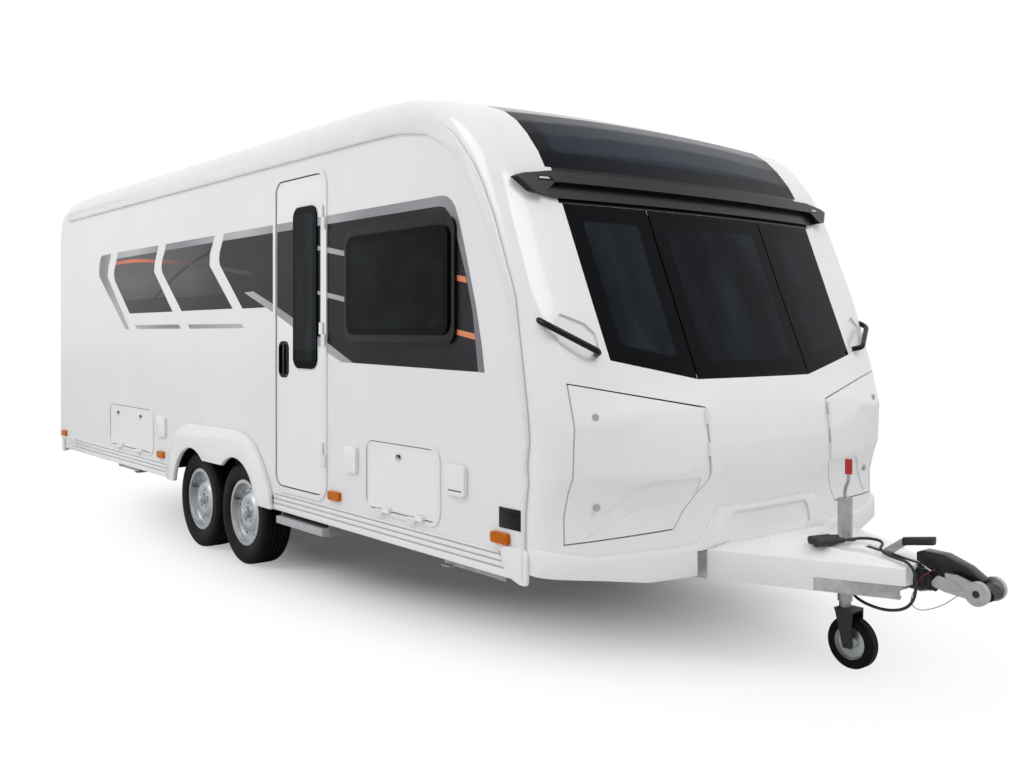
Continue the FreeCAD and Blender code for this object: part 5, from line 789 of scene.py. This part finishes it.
# Half the section, as distance from the middle plane and radius in millimetres: the bead and the
# sidewall with its raised rings, the shoulder, then the tread with two of its four grooves.
HALF_SECTION = [
    (70.7, 181), (71.2, 193), (76.5, 198), (82, 206), (84.5, 208), (86, 214), (89.3, 226), (91.6, 238),
    (92.4, 249), (91.9, 262), (90.6, 270), (91.2, 272), (90.4, 276), (89, 278), (86.3, 287), (81.5, 296),
    (75, 301.8), (67, 304.6), (58, 305.9), (47, 306.6), (45.4, 299.5), (40.4, 299.5), (38.8, 306.9),
    (28, 307), (17, 307), (15.4, 299.5), (10.4, 299.5), (8.8, 307),
]


def tyre_slice(name):
    """The slice between two turns about the axle, its shoulders notched near the end."""
    section = HALF_SECTION + [(-across, radius) for across, radius in reversed(HALF_SECTION)]
    rings = ((0.0, 0.0), (0.72, 0.0), (0.76, NOTCH_DEEP), (0.96, NOTCH_DEEP), (1.0, 0.0))
    verts = []
    for share, notch in rings:
        angle = SLICE_TURN * share
        for across, radius in section:
            if notch and abs(across) > SHOULDER_ACROSS and radius > SHOULDER_RADIUS:
                radius -= notch
            verts.append((radius * math.sin(angle) / 1000, across / 1000, radius * math.cos(angle) / 1000))
    outwards = [(a, d, c, b) for a, b, c, d in between_rings(len(rings), len(section))]
    return plain_mesh(name, verts, outwards)


# %% Four tyres
def middle_of(node):
    """The middle of a node's box."""
    low, high = (Vector(corner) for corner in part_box(node))
    return (low + high) / 2


for node in TYRES:
    tyre = repeated(node + "_tread", tyre_slice(node + "_slice"), BODY_OF[node], tyre_rubber, SLICES,
                    middle_of(node), turn=(0, SLICE_TURN, 0))
    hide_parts(node)
print("one tyre:", len(tyre.data.polygons), "faces")

# %% [markdown]
# ## Hub caps and valves
#
# The middle of each wheel is closed by a chromed hexagonal cap that covers the axle nut. It is turned
# and pressed, so it is a stack of rings that go from six-sided to round. A short valve stem sits near
# the rim.

# %% Chrome, and closed shapes from lists
# Chromed steel mirrors the studio, only slightly blurred.
chrome, tree, shader = new_material("chromed_steel", Metallic=1.0, Roughness=0.14)
mottled(tree, shader, "#D5D7DA", "#C7CACD", 30.0)
print("the caps are", chrome.name)


def solid_mesh(name, verts, faces, angle=35.0):
    """A closed mesh from lists, its normals turned outwards and its corners kept crisp."""
    mesh = plain_mesh(name, verts, faces)
    with edited(mesh) as work:
        bmesh.ops.remove_doubles(work, verts=work.verts, dist=WELD / 2)
        bmesh.ops.recalc_face_normals(work, faces=work.faces)
        smooth_edges(work, angle)
    return mesh


# %% Hub caps and valves
def hub_cap(name, x, y, z, way):
    """A cap standing out from the hub; each ring has its height, radius and share of a hexagon."""
    rings = ((-0.002, 0.031, 0.0), (0.002, 0.031, 0.0), (0.003, 0.026, 1.0), (0.010, 0.026, 1.0),
             (0.012, 0.0235, 0.6), (0.0135, 0.016, 0.0), (0.014, 0.0, 0.0))
    sides, verts = 24, []
    for out, radius, six in rings:
        for step in range(sides):
            angle = 2 * math.pi * step / sides
            local = (angle + math.pi / 6) % (math.pi / 3) - math.pi / 6
            flat = math.cos(math.pi / 6) / math.cos(local)
            reach = radius * (1 - six + six * flat)
            verts.append((x + reach * math.cos(angle), y + way * out, z + reach * math.sin(angle)))
    faces = between_rings(len(rings), sides) + [tuple(range(sides))]
    return solid_mesh(name, verts, faces, angle=40.0)


def valve_stem(name, x, y, z, way):
    """A short rubber stem with a cap, pointing out of the rim; each ring has its height and radius."""
    rings = ((0.0, 0.0052), (0.008, 0.0050), (0.020, 0.0036), (0.021, 0.0044), (0.029, 0.0044),
             (0.031, 0.0030))
    sides, verts = 10, []
    for out, radius in rings:
        for step in range(sides):
            angle = 2 * math.pi * step / sides
            verts.append((x + radius * math.cos(angle), y + way * out, z + radius * math.sin(angle)))
    ends = [tuple(range(sides)), tuple(range(len(verts) - sides, len(verts)))]
    return solid_mesh(name, verts, between_rings(len(rings), sides) + ends, angle=40.0)


HUB_STANDS = 0.075
VALVE_BACK, VALVE_STANDS, VALVE_UP = 0.150, 0.036, 0.060
for node in TYRES:
    x, y, z = middle_of(node)
    way = 1 if y > 0 else -1
    wheel = node.replace("tyre_", "")
    cap = hub_cap("hub_cap_" + wheel, x, y + way * HUB_STANDS, z, way)
    own("hub_cap_" + wheel, cap, BODY_OF[node], chrome)
    valve = valve_stem("valve_" + wheel, x - VALVE_BACK, y + way * VALVE_STANDS, z + VALVE_UP, way)
    own("valve_" + wheel, valve, BODY_OF[node], seal_rubber)
print("hub caps and valves:", len(TYRES), "each")

# %% [markdown]
# ## The films on the wall, cut to shape
#
# A sign maker cuts each film as one flat outline. Here all the outlines lie in one plane, and a 2D
# triangulation tells for each small triangle which outlines hold it. The topmost one gives the colour,
# and a triangle inside a window, a door or a hatch is left out. Thin lines only count where they lie
# on a panel. No two sheets lie on each other, so nothing flickers, and no boolean is needed.

# %% Cut the films
def film(name, layers, inside, holes, plane_y, body):
    """One flat mesh from outlines in (x, z) millimetres; later layers lie on top. It keeps inside one
    outline, if there is one, and out of the holes."""
    outlines = [points for points, _, _ in layers] + ([inside] if inside else []) + holes
    places, faces = [], []
    for points in outlines:
        area = sum(a[0] * b[1] - b[0] * a[1] for a, b in zip(points, points[1:] + points[:1]))
        points = points if area > 0 else points[::-1]
        start = len(places)
        places += [Vector((x / 1000, z / 1000)) for x, z in points]
        faces.append(list(range(start, start + len(points))))
    verts, _, triangles, _, _, origin = delaunay_2d_cdt(places, [], faces, 1, 1e-6)
    count = len(layers)
    first_hole = count + (1 if inside else 0)
    keep, tops = [], []
    for triangle, sources in zip(triangles, origin):
        held = [s for s in sources if s < count]
        if not any(layers[s][2] for s in held) or (inside and count not in sources):
            continue
        if any(s >= first_hole for s in sources):
            continue
        keep.append(triangle)
        tops.append(max(held))
    mesh = plain_mesh(name, [(v.x, plane_y, v.y) for v in verts], keep)
    materials = []
    for _, material, _ in layers:
        if material not in materials:
            materials.append(material)
            mesh.materials.append(material)
    for polygon, top in zip(mesh.polygons, tops):
        polygon.material_index = materials.index(layers[top][1])
    with edited(mesh) as work:
        for face in work.faces:
            face.normal_update()
            if face.normal.y * plane_y < 0:
                face.normal_flip()
        loose = [v for v in work.verts if not v.link_faces]
        bmesh.ops.delete(work, geom=loose, context="VERTS")
    return own(name, mesh, body, None)


def on_curve(before, a, b, after, s):
    """The place at a share s of the way from a to b, on a smooth curve through all four."""
    return tuple(0.5 * (2 * q + (r - p) * s + (2 * p - 5 * q + 4 * r - t) * s * s
                        + (3 * q - p - 3 * r + t) * s ** 3)
                 for p, q, r, t in zip(before, a, b, after))


def line_outline(points, thick, steps=4):
    """The outline of a thin curved line through places, smoothed between them."""
    fine = []
    for index in range(len(points) - 1):
        before, a = points[max(index - 1, 0)], points[index]
        b, after = points[index + 1], points[min(index + 2, len(points) - 1)]
        fine += [on_curve(before, a, b, after, step / steps) for step in range(steps)]
    fine.append(points[-1])
    upper, lower = [], []
    for index, (x, z) in enumerate(fine):
        a, b = fine[max(index - 1, 0)], fine[min(index + 1, len(fine) - 1)]
        length = math.hypot(b[0] - a[0], b[1] - a[1])
        across = (-(b[1] - a[1]) / length * thick / 2, (b[0] - a[0]) / length * thick / 2)
        upper.append((x + across[0], z + across[1]))
        lower.append((x - across[0], z - across[1]))
    return upper + lower[::-1]


# %% The outlines in millimetres, from the rear to the front
# The two grey panels and the long black one.
PANEL_ONE = [(-2295, 1931), (-1467, 1936), (-1512, 1861), (-1527, 1800), (-1185, 1518), (-2014, 1516),
             (-2340, 1771), (-2358, 1815), (-2352, 1850)]
PANEL_TWO = [(-1323, 1936), (-521, 1938), (-568, 1870), (-574, 1797), (-234, 1523), (-1029, 1520),
             (-1368, 1786), (-1386, 1822), (-1374, 1870)]
PANEL_THREE = [(-378, 1938), (1905, 1938), (1950, 1930), (1985, 1900), (2011, 1858), (2043, 1786),
               (2106, 1626), (2152, 1470), (2184, 1261), (2189, 1219), (1174, 1232), (925, 1325),
               (534, 1460), (323, 1533), (209, 1523), (-96, 1521), (-415, 1790), (-429, 1825),
               (-422, 1868)]
# The fading orange line, the dark line that crosses it, and the band below them.
ARC = [(-2330, 1897), (-2084, 1900), (-1808, 1893), (-1505, 1873), (-1341, 1863), (-1092, 1843),
       (-787, 1809), (-572, 1791), (-306, 1760), (-96, 1734), (27, 1721)]
CROSS = [(-1560, 1590), (-1390, 1664), (-1268, 1705), (-1064, 1773), (-895, 1817), (-733, 1851),
         (-539, 1886), (-378, 1897), (-142, 1900), (38, 1898)]
LOW_BAND = [(-2400, 1603), (-2156, 1612), (-1250, 1622), (-900, 1608), (-600, 1612), (-300, 1618),
            (-150, 1500), (-2300, 1500)]
# The silver shapes round the panels, and the two flashes on the black one.
REAR_HOOK = [(-2634, 1974), (-2423, 1976), (-2492, 1873), (-2504, 1800), (-2021, 1401), (-2102, 1401),
             (-2697, 1810), (-2708, 1850), (-2692, 1925), (-2664, 1962)]
TOP_STRIP_ONE = [(-2280, 1978), (-1442, 1979), (-1467, 1936), (-2295, 1931)]
TOP_STRIP_TWO = [(-1303, 1979), (-495, 1980), (-521, 1938), (-1323, 1936)]
FRONT_RIM = [(-360, 1981), (1925, 1983), (1965, 1976), (1998, 1958), (2027, 1926), (2059, 1854),
             (2101, 1732), (2173, 1501), (2215, 1330), (2234, 1217), (2189, 1219), (2184, 1261),
             (2152, 1470), (2106, 1626), (2043, 1786), (2011, 1858), (1985, 1900), (1950, 1930),
             (1905, 1938), (-378, 1938)]
LOW_STRIP_ONE = [(-1916, 1430), (-1078, 1432), (-1041, 1404), (-1858, 1403)]
LOW_STRIP_TWO = [(-923, 1431), (-112, 1431), (-78, 1406), (-890, 1404)]
SWEEP = [(-73, 1615), (49, 1618), (323, 1533), (534, 1458), (925, 1325), (1174, 1232), (1059, 1233),
         (925, 1276), (534, 1412), (323, 1487), (209, 1523)]
UPPER_FLASH = [(560, 1862), (828, 1831), (925, 1818), (1112, 1786), (1112, 1760), (925, 1790),
               (828, 1809), (560, 1848)]
LOWER_FLASH = [(560, 1634), (828, 1597), (925, 1585), (1112, 1557), (1112, 1531), (925, 1560),
               (828, 1578), (560, 1621)]
# Two orange dashes ahead of the front side window.
UPPER_DASH = [(2040, 1631), (2103, 1621), (2113, 1594), (2040, 1606)]
LOWER_DASH = [(2040, 1397), (2163, 1380), (2171, 1353), (2040, 1374)]
# Each film has its outline, its vinyl, and whether it lies there by itself. A printed one shows only
# where it lies on a panel.
FILMS = [
    (PANEL_ONE, grey_film, True),
    (PANEL_TWO, grey_film, True),
    (PANEL_THREE, black_film, True),
    (LOW_BAND, band_film, False),
    (line_outline(CROSS, 22), band_film, False),
    (line_outline(ARC, 24), fading_film, False),
]
FILMS += [(points, silver_film, True)
          for points in (REAR_HOOK, TOP_STRIP_ONE, TOP_STRIP_TWO, FRONT_RIM, LOW_STRIP_ONE,
                         LOW_STRIP_TWO, SWEEP, UPPER_FLASH, LOWER_FLASH)]
FILMS += [(points, orange_film, True) for points in (UPPER_DASH, LOWER_DASH)]
print("films:", len(FILMS))

# %% Films on the walls and the door
def soft_outline(x_low, x_high, z_low, z_high, radius, steps=6):
    """A rounded rectangle in (x, z) millimetres."""
    corners = [(x_high - radius, z_high - radius, 0), (x_low + radius, z_high - radius, 90),
               (x_low + radius, z_low + radius, 180), (x_high - radius, z_low + radius, 270)]
    points = []
    for x, z, start in corners:
        for step in range(steps + 1):
            angle = math.radians(start + 90 * step / steps)
            points.append((x + radius * math.cos(angle), z + radius * math.sin(angle)))
    return points


FILM_STANDS = 0.0006
# What the films leave free: the entrance door's frame, the side windows, the door's glass and pull.
door_edge = soft_outline(314, 915, 507, 2239, 98)
window_edge = soft_outline(1112, 2040, 1335, 1890, 60)
door_panel = soft_outline(352, 843, 545, 2201, 40)
door_glass = soft_outline(552, 811, 1190, 2050, 60)
door_pull = soft_outline(368, 495, 1131, 1338, 44)
film("films_right", FILMS, None, [door_edge, window_edge], -(SIDE + FILM_STANDS), "caravan")
film("films_door", FILMS, door_panel, [door_glass, door_pull], -(SIDE + FILM_STANDS), "door")
left_windows = [window_edge] + [soft_outline(tail, front, 1390, 1890, 60)
                                for tail, front in ((-1250, -300), (-3050, -2500))]
left = film("films_left", FILMS, None, left_windows, SIDE + FILM_STANDS, "caravan")
print("film triangles on the left:", len(left.data.polygons))

# %% [markdown]
# ## Seals, frames and the door pull
#
# A black rubber seal closes the gap round the door and round each side locker, which draws their thin
# dark outline. Each locker door has a shallow pressed border inside its edge, and the entrance door's
# pull has a raised black surround. All are rings between two rounded rectangles.

# %% Seals and pressed borders
# Each opening is its tail, front, low and high edge in millimetres. The seal's outlines lie inside it.
DOOR_OPENING = (342, 887, 535, 2211)
LOCKERS = {"front": ((1284, 1921, 522, 885), "locker_front"),
           "rear": ((-2451, -1527, 514, 855), "locker_rear")}
SEAL_INSETS, SEAL_PROUD = (0.6, 5.4), -0.6
BORDER_PROUD, SURROUND_PROUD, ROOTED = 2.2, 4.5, -1.0


def ring_on_wall(name, outer, inner, proud, deep, body, material):
    """A closed ring between two outlines in millimetres on the right wall, with a rounded front. Each
    row is a share of the way from the outer outline to the inner one, and how far it stands out."""
    crest, shoulder = 0.35, proud * 0.6
    rows = ((0.0, deep), (0.0, shoulder), (crest, proud), (1 - crest, proud), (1.0, shoulder), (1.0, deep))
    verts = [((a[0] + (b[0] - a[0]) * share) / 1000, -(SIDE + stand / 1000),
              (a[1] + (b[1] - a[1]) * share) / 1000) for share, stand in rows for a, b in zip(outer, inner)]
    faces = between_rings(len(rows), len(outer), closed=True)
    return own(name, solid_mesh(name, verts, faces), body, material)


def inset_outline(opening, inset, radius):
    """A rounded rectangle inside an opening, which is given as its tail, front, low and high."""
    tail, front, low, high = opening
    return soft_outline(tail + inset, front - inset, low + inset, high - inset, radius)


def rubber_seal(name, opening, radius, deep):
    """A seal that nearly fills the gap inside an opening."""
    outer, inner = (inset_outline(opening, inset, radius - inset) for inset in SEAL_INSETS)
    ring_on_wall(name, outer, inner, SEAL_PROUD, deep, "caravan", seal_rubber)


rubber_seal("door_seal", DOOR_OPENING, 70, -14.0)
for end, (opening, body) in LOCKERS.items():
    rubber_seal("locker_seal_" + end, opening, 55, -12.0)
    ring_on_wall("locker_border_" + end, inset_outline(opening, 24, 34), inset_outline(opening, 38, 22),
                 BORDER_PROUD, ROOTED, body, moulded_white)
ring_on_wall("door_pull_surround", soft_outline(372, 491, 1135, 1334, 42),
             soft_outline(385, 479, 1151, 1317, 22), SURROUND_PROUD, ROOTED, "door", gloss_black)
print("seals:", 1 + len(LOCKERS))

# %% [markdown]
# ## Front corner caps and painted shade in the skirts' grooves
#
# A white moulded cap closes each lower front corner, where the skirt meets the front fairing. Its outline
# is softened by cutting its corners twice. Grey strips lie in the skirt's three grooves: they are painted
# shade, a grey sheet for the shadow in each groove. Both are flat plates with a rounded edge, so one
# function stacks four rings of points for each of them.

# %% Caps, and grey strips of painted shade in the grooves
def cut_corners(points, cut=0.15, rounds=2):
    """Replaces each corner by two points a little way along its sides, and repeats it."""
    for _ in range(rounds):
        points = [(a[0] * (1 - s) + b[0] * s, a[1] * (1 - s) + b[1] * s)
                  for a, b in zip(points, points[1:] + points[:1]) for s in (cut, 1 - cut)]
    return points


def raised_plate(name, points, stand, body, material, way, deep=0.5):
    """A closed plate in millimetres on a side wall, its edge rounded off. Each ring is set in from the
    outline and out from the wall."""
    middle = [sum(point[i] for point in points) / len(points) for i in (0, 1)]
    rings = ((0.0, deep), (0.0, stand - 3.0), (1.2, stand - 0.8), (4.0, stand))
    verts, count = [], len(points)
    for inset, out in rings:
        for x, z in points:
            away = math.hypot(middle[0] - x, middle[1] - z)
            verts.append(((x + (middle[0] - x) * inset / away) / 1000, way * (SIDE + out / 1000),
                          (z + (middle[1] - z) * inset / away) / 1000))
    ends = [tuple(range(count)), tuple(range(len(verts) - count, len(verts)))]
    faces = between_rings(len(rings), count) + ends
    return own(name, solid_mesh(name, verts, faces), body, material)


CAP = [(2358, 524), (2520, 534), (2520, 386), (2478, 384), (2436, 395), (2394, 419), (2361, 458)]
CAP_STANDS, GROOVE_SHADE_STANDS, GROOVE_SHADE_ROOT = 15.0, 8.4, 4.0
SKIRT_LOW, SKIRT_TALL, GROOVE_TALL = 398, 99, 6.9
GROOVE_SHARES = (0.32, 0.58, 0.84)
ARCH_GAP = 0.004
# A groove runs in metres from the tail to the wheel arch, and from the arch to the corner cap.
arch_low, arch_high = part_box("wheel_arches")
GROOVES = {"rear": (-3.30, arch_low[0] - ARCH_GAP), "front": (arch_high[0] + ARCH_GAP, 2.37)}
for way, hand in HANDS:
    raised_plate("corner_cap_" + hand, cut_corners(CAP), CAP_STANDS, "caravan", moulded_white, way)
    for share in GROOVE_SHARES:
        low = SKIRT_LOW + SKIRT_TALL * share
        high = low + GROOVE_TALL
        for end, (tail, front) in GROOVES.items():
            tail, front = tail * 1000, front * 1000
            # Each grey strip is painted shade: it stands for the shadow in a groove of the skirt.
            raised_plate("skirt_insert_%s_%s_%d" % (hand, end, low),
                         [(tail, low), (front, low), (front, high), (tail, high)],
                         GROOVE_SHADE_STANDS, "caravan", grey_plastic, way, GROOVE_SHADE_ROOT)
# The count is of these grey strips of painted groove shade.
print("skirt inserts:", 2 * len(GROOVES) * len(GROOVE_SHARES))

# %% [markdown]
# ## Lamps in the visor's ends
#
# Each end of the visor holds a small slot with a pale marker lamp. The slot has to lie on the curved
# wing, so a grid of rays finds the wing's surface, and the sheet stands a little in front of it.

# %% A sheet laid on a surface
def surface_of(node):
    """A search tree for rays against a node's finished copy."""
    data = SKIN[node].data
    return BVHTree.FromPolygons([v.co for v in data.vertices], [p.vertices for p in data.polygons])


def draped_sheet(name, surface, columns, rows, place, material):
    """An open sheet on what is seen from ahead. place turns a share across and a share up, from 0 to
    1, into how far left, how high and how proud a point is."""
    verts, faces = [], []
    for row in range(rows + 1):
        for column in range(columns + 1):
            y, z, proud = place(column / columns, row / rows)
            found, normal, _, _ = surface.ray_cast(Vector((6.0, y, z)), Vector((-1, 0, 0)))
            verts.append(tuple(found + normal * proud))
    for row in range(rows):
        for column in range(columns):
            first = row * (columns + 1) + column
            faces.append((first, first + 1, first + columns + 2, first + columns + 1))
    mesh = plain_mesh(name, verts, faces)
    for face in mesh.polygons:
        face.use_smooth = True
    if sum(face.normal.x for face in mesh.polygons) < 0:
        mesh.flip_normals()
    return own(name, mesh, "caravan", material)


# %% Slot lamps on the visor
VISOR_SLOT = [(0.905, 2.020), (1.000, 2.018), (0.985, 2.040), (0.912, 2.040)]
VISOR_LAMP = [(0.925, 2.0275), (0.985, 2.0265), (0.975, 2.0365), (0.930, 2.0365)]
VISOR_LIFT, SLOT_CROWN, LAMP_CROWN = 0.0004, 0.0006, 0.0022
visor_surface = surface_of("visor")


def visor_patch(name, corners, way, crown, material):
    """A four-sided sheet on the visor's end, its middle raised by the crown."""
    def place(s, t):
        y, z = ((corners[0][i] * (1 - s) + corners[1][i] * s) * (1 - t)
                + (corners[3][i] * (1 - s) + corners[2][i] * s) * t for i in (0, 1))
        return way * y, z, VISOR_LIFT + (0.0 if s in (0, 1) or t in (0, 1) else crown)
    draped_sheet(name, visor_surface, 8, 4, place, material)


for way, hand in HANDS:
    visor_patch("visor_slot_" + hand, VISOR_SLOT, way, SLOT_CROWN, gloss_black)
    visor_patch("visor_lamp_" + hand, VISOR_LAMP, way, LAMP_CROWN, clear_lens)
print("visor lamps:", len(HANDS))

# %% [markdown]
# ## Black gaskets round the visor
#
# Between the visor and the glass above and below it the front is closed by a flat black gasket. Its line
# is found by looking straight at the front panel from ahead, so that it follows the panel's bow.

# %% Gaskets
UNDER_VISOR, OFF_GLASS, GASKET_PROUD = 0.012, 0.0005, 0.0012
front_surface = surface_of("front_panel")
visor_low, visor_high = (corner[2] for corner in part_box("visor"))
pane_high, glass_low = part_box("front_windows")[1][2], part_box("roof_window")[0][2]
print("heights", round(pane_high, 4), round(visor_low, 4), round(visor_high, 4), round(glass_low, 4))


def gasket(name, low, high, half):
    """A thin black strip on the front panel between two heights; half is half its width."""
    def place(s, t):
        return half * (2 * s - 1), low + (high - low) * t, GASKET_PROUD
    draped_sheet(name, front_surface, 40, 3, place, gloss_black)


gasket("gasket_below_visor", pane_high + OFF_GLASS, visor_low + UNDER_VISOR, half=0.880)
gasket("gasket_above_visor", visor_high - UNDER_VISOR, glass_low - OFF_GLASS, half=0.860)

# %% [markdown]
# ## Screws and step ribs
#
# Small cross-head screws hold the awning rails, and the step has a ribbed tread that gives a wet shoe
# some grip. Both are set out by the repeat tree, since each is one shape at even spaces on a line.

# %% The step's tread
def step_rib(name, length):
    """One rounded rib of the step's tread, running along the step."""
    half, verts, faces = length / 2, [], []
    for x in (-half, half):
        for y, z in ((-0.0045, 0.0), (-0.0032, 0.0022), (0.0, 0.0030), (0.0032, 0.0022), (0.0045, 0.0)):
            verts.append((x, y, z))
    for step in range(4):
        faces.append((step, step + 1, step + 6, step + 5))
    faces += [(0, 5, 9, 4), (4, 3, 2, 1, 0), (5, 6, 7, 8, 9)]
    return solid_mesh(name, verts, faces, angle=50.0)


RIBS, RIB_SPACING, FIRST_RIB, RIB_MARGIN = 14, 0.019, 0.030, 0.05
step_low, step_high = (Vector(corner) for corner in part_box("entrance_step"))
rib = step_rib("step_rib", step_high.x - step_low.x - RIB_MARGIN)
repeated("step_tread", rib, "step", seal_rubber, RIBS,
         ((step_low.x + step_high.x) / 2, step_low.y + FIRST_RIB, step_high.z), (0, RIB_SPACING, 0))

# %% Screws along the rails
def screw_head(name, radius, turn_way):
    """A low round head with a pressed cross, facing left or right; each ring has its height and
    radius as shares of the head's radius."""
    rings = ((0.0, 1.0), (0.35, 0.97), (0.6, 0.72), (0.62, 0.42), (0.25, 0.18))
    sides, verts = 12, []
    for out, share in rings:
        for step in range(sides):
            angle = 2 * math.pi * step / sides
            reach = radius * share * (1.0 if share > 0.5 else 1.0 + 0.45 * math.cos(4 * angle))
            verts.append((reach * math.cos(angle), turn_way * out * radius, reach * math.sin(angle)))
    ends = [tuple(range(sides)), tuple(range(len(verts) - sides, len(verts)))]
    return solid_mesh(name, verts, between_rings(len(rings), sides) + ends, angle=40.0)


SCREWS, SCREW_SPACING, SCREW_RADIUS, SCREW_SUNK = 22, 0.21, 0.004, 0.0012
STRAIGHT = (-3.0, 1.4)  # where the rails run straight along the roof's edge
rail_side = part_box("awning_rails")[1][1]
outer_face = [v.co.z for v in SKIN["awning_rails"].data.vertices
              if abs(v.co.y) > rail_side - 0.0015 and STRAIGHT[0] < v.co.x < STRAIGHT[1]]
screw_height = (min(outer_face) + max(outer_face)) / 2
for way, hand in HANDS:
    screw = screw_head("rail_screw_" + hand, SCREW_RADIUS, way)
    repeated("rail_screws_" + hand, screw, "caravan", chrome, SCREWS,
             (STRAIGHT[0], way * (rail_side - SCREW_SUNK), screw_height), (SCREW_SPACING, 0, 0))
print("rail screws at", round(screw_height, 4), "between", round(min(outer_face), 4),
      round(max(outer_face), 4))

# %% [markdown]
# ## Floor, backdrop and lights
#
# The picture was taken on a plain white ground under a soft sky. The sky is a pale world light, brighter
# overhead than at the horizon, and two large softboxes give the walls their direction. The floor keeps
# the soft shadow under the caravan and turns to plain white further out, which only camera rays see.

# %% The sky
world = bpy.data.worlds.new("soft_sky")
bpy.context.scene.world = world
world.use_nodes = True
tree = world.node_tree
tree.nodes.clear()
path = add(tree, "ShaderNodeLightPath")
heading = add(tree, "ShaderNodeTexCoord")
height = add(tree, "ShaderNodeSeparateXYZ", {"Vector": heading.outputs["Generated"]})
rise = add(tree, "ShaderNodeMapRange", {"Value": height.outputs["Z"]}, To_Min=0.30, To_Max=0.95)
sky = add(tree, "ShaderNodeBackground", {"Strength": rise.outputs["Result"]}, Color=linear("#F6F6F5"))
paper = add(tree, "ShaderNodeBackground", Color=(1.0, 1.0, 1.0, 1.0), Strength=1.0)
# The camera, reflections and glass see plain white; everything else is lit by the sky.
seen = add(tree, "ShaderNodeMath", {0: path.outputs["Is Camera Ray"], 1: path.outputs["Is Glossy Ray"]},
           operation="MAXIMUM")
through = add(tree, "ShaderNodeMath", {0: seen.outputs[0], 1: path.outputs["Is Transmission Ray"]},
              operation="MAXIMUM")
mix = add(tree, "ShaderNodeMixShader", {0: through.outputs[0], 1: sky.outputs[0], 2: paper.outputs[0]})
add(tree, "ShaderNodeOutputWorld", {"Surface": mix.outputs[0]})
print("sky:", world.name)

# %% The floor
# Matt paper: it takes the shadow and reflects almost nothing.
ground, tree, shader = new_material("pale_studio_floor", Roughness=0.85, Specular_IOR_Level=0.1,
                                    Base_Color=(0.80, 0.80, 0.80, 1.0))
# The shadow's field is a long oval, so a metre along the caravan counts less than one across it.
OVAL, FADE_FROM, FADE_TO, FADE_LOW = (0.42, 1.0, 1.0), 0.6, 1.7, 0.08
place = add(tree, "ShaderNodeTexCoord")
flat = add(tree, "ShaderNodeVectorMath", {0: place.outputs["Object"]}, operation="MULTIPLY")
flat.inputs[1].default_value = OVAL
reach = add(tree, "ShaderNodeVectorMath", {0: flat.outputs["Vector"]}, operation="LENGTH")
edge = add(tree, "ShaderNodeMapRange", {"Value": reach.outputs["Value"]},
           interpolation_type="SMOOTHSTEP", From_Min=FADE_FROM, From_Max=FADE_TO, To_Min=FADE_LOW)
path = add(tree, "ShaderNodeLightPath")
fade = add(tree, "ShaderNodeMath", {0: edge.outputs["Result"], 1: path.outputs["Is Camera Ray"]},
           operation="MULTIPLY")
glow = add(tree, "ShaderNodeEmission", Color=(1.0, 1.0, 1.0, 1.0), Strength=1.0)
mix = add(tree, "ShaderNodeMixShader", {0: fade.outputs[0], 1: shader.outputs[0], 2: glow.outputs[0]})
tree.links.new(mix.outputs[0], tree.nodes["Material Output"].inputs["Surface"])
HALF_FLOOR, BELOW_TYRES = 60, 0.0005
floor_corners = [(x * HALF_FLOOR, y * HALF_FLOOR, 0) for x, y in ((-1, -1), (1, -1), (1, 1), (-1, 1))]
mesh = plain_mesh("studio_floor", floor_corners, [(0, 1, 2, 3)])
mesh.materials.append(ground)
studio_floor = bpy.data.objects.new("studio_floor", mesh)
bpy.context.scene.collection.objects.link(studio_floor)
studio_floor.location.z = -BELOW_TYRES
print("floor:", 2 * HALF_FLOOR, "m wide, its white starts at", FADE_FROM, "m across")


# %% The softboxes
def softbox(name, stand, target, size, power):
    """A square area lamp of a size in metres and a power in watts that faces a place."""
    data = bpy.data.lights.new(name, "AREA")
    data.size = size
    data.energy = power
    lamp = bpy.data.objects.new(name, data)
    lamp.location = stand
    lamp.rotation_mode = "QUATERNION"
    lamp.rotation_quaternion = (Vector(target) - Vector(stand)).to_track_quat("-Z", "Y")
    bpy.context.scene.collection.objects.link(lamp)


softbox("key_softbox", (-1.5, -9.0, 7.5), (0.0, 0.0, 1.0), size=6.0, power=330)
softbox("front_softbox", (8.5, 1.0, 8.0), (2.4, 0.0, 1.0), size=4.0, power=190)
print("lamps:", [light.name for light in bpy.data.lights])
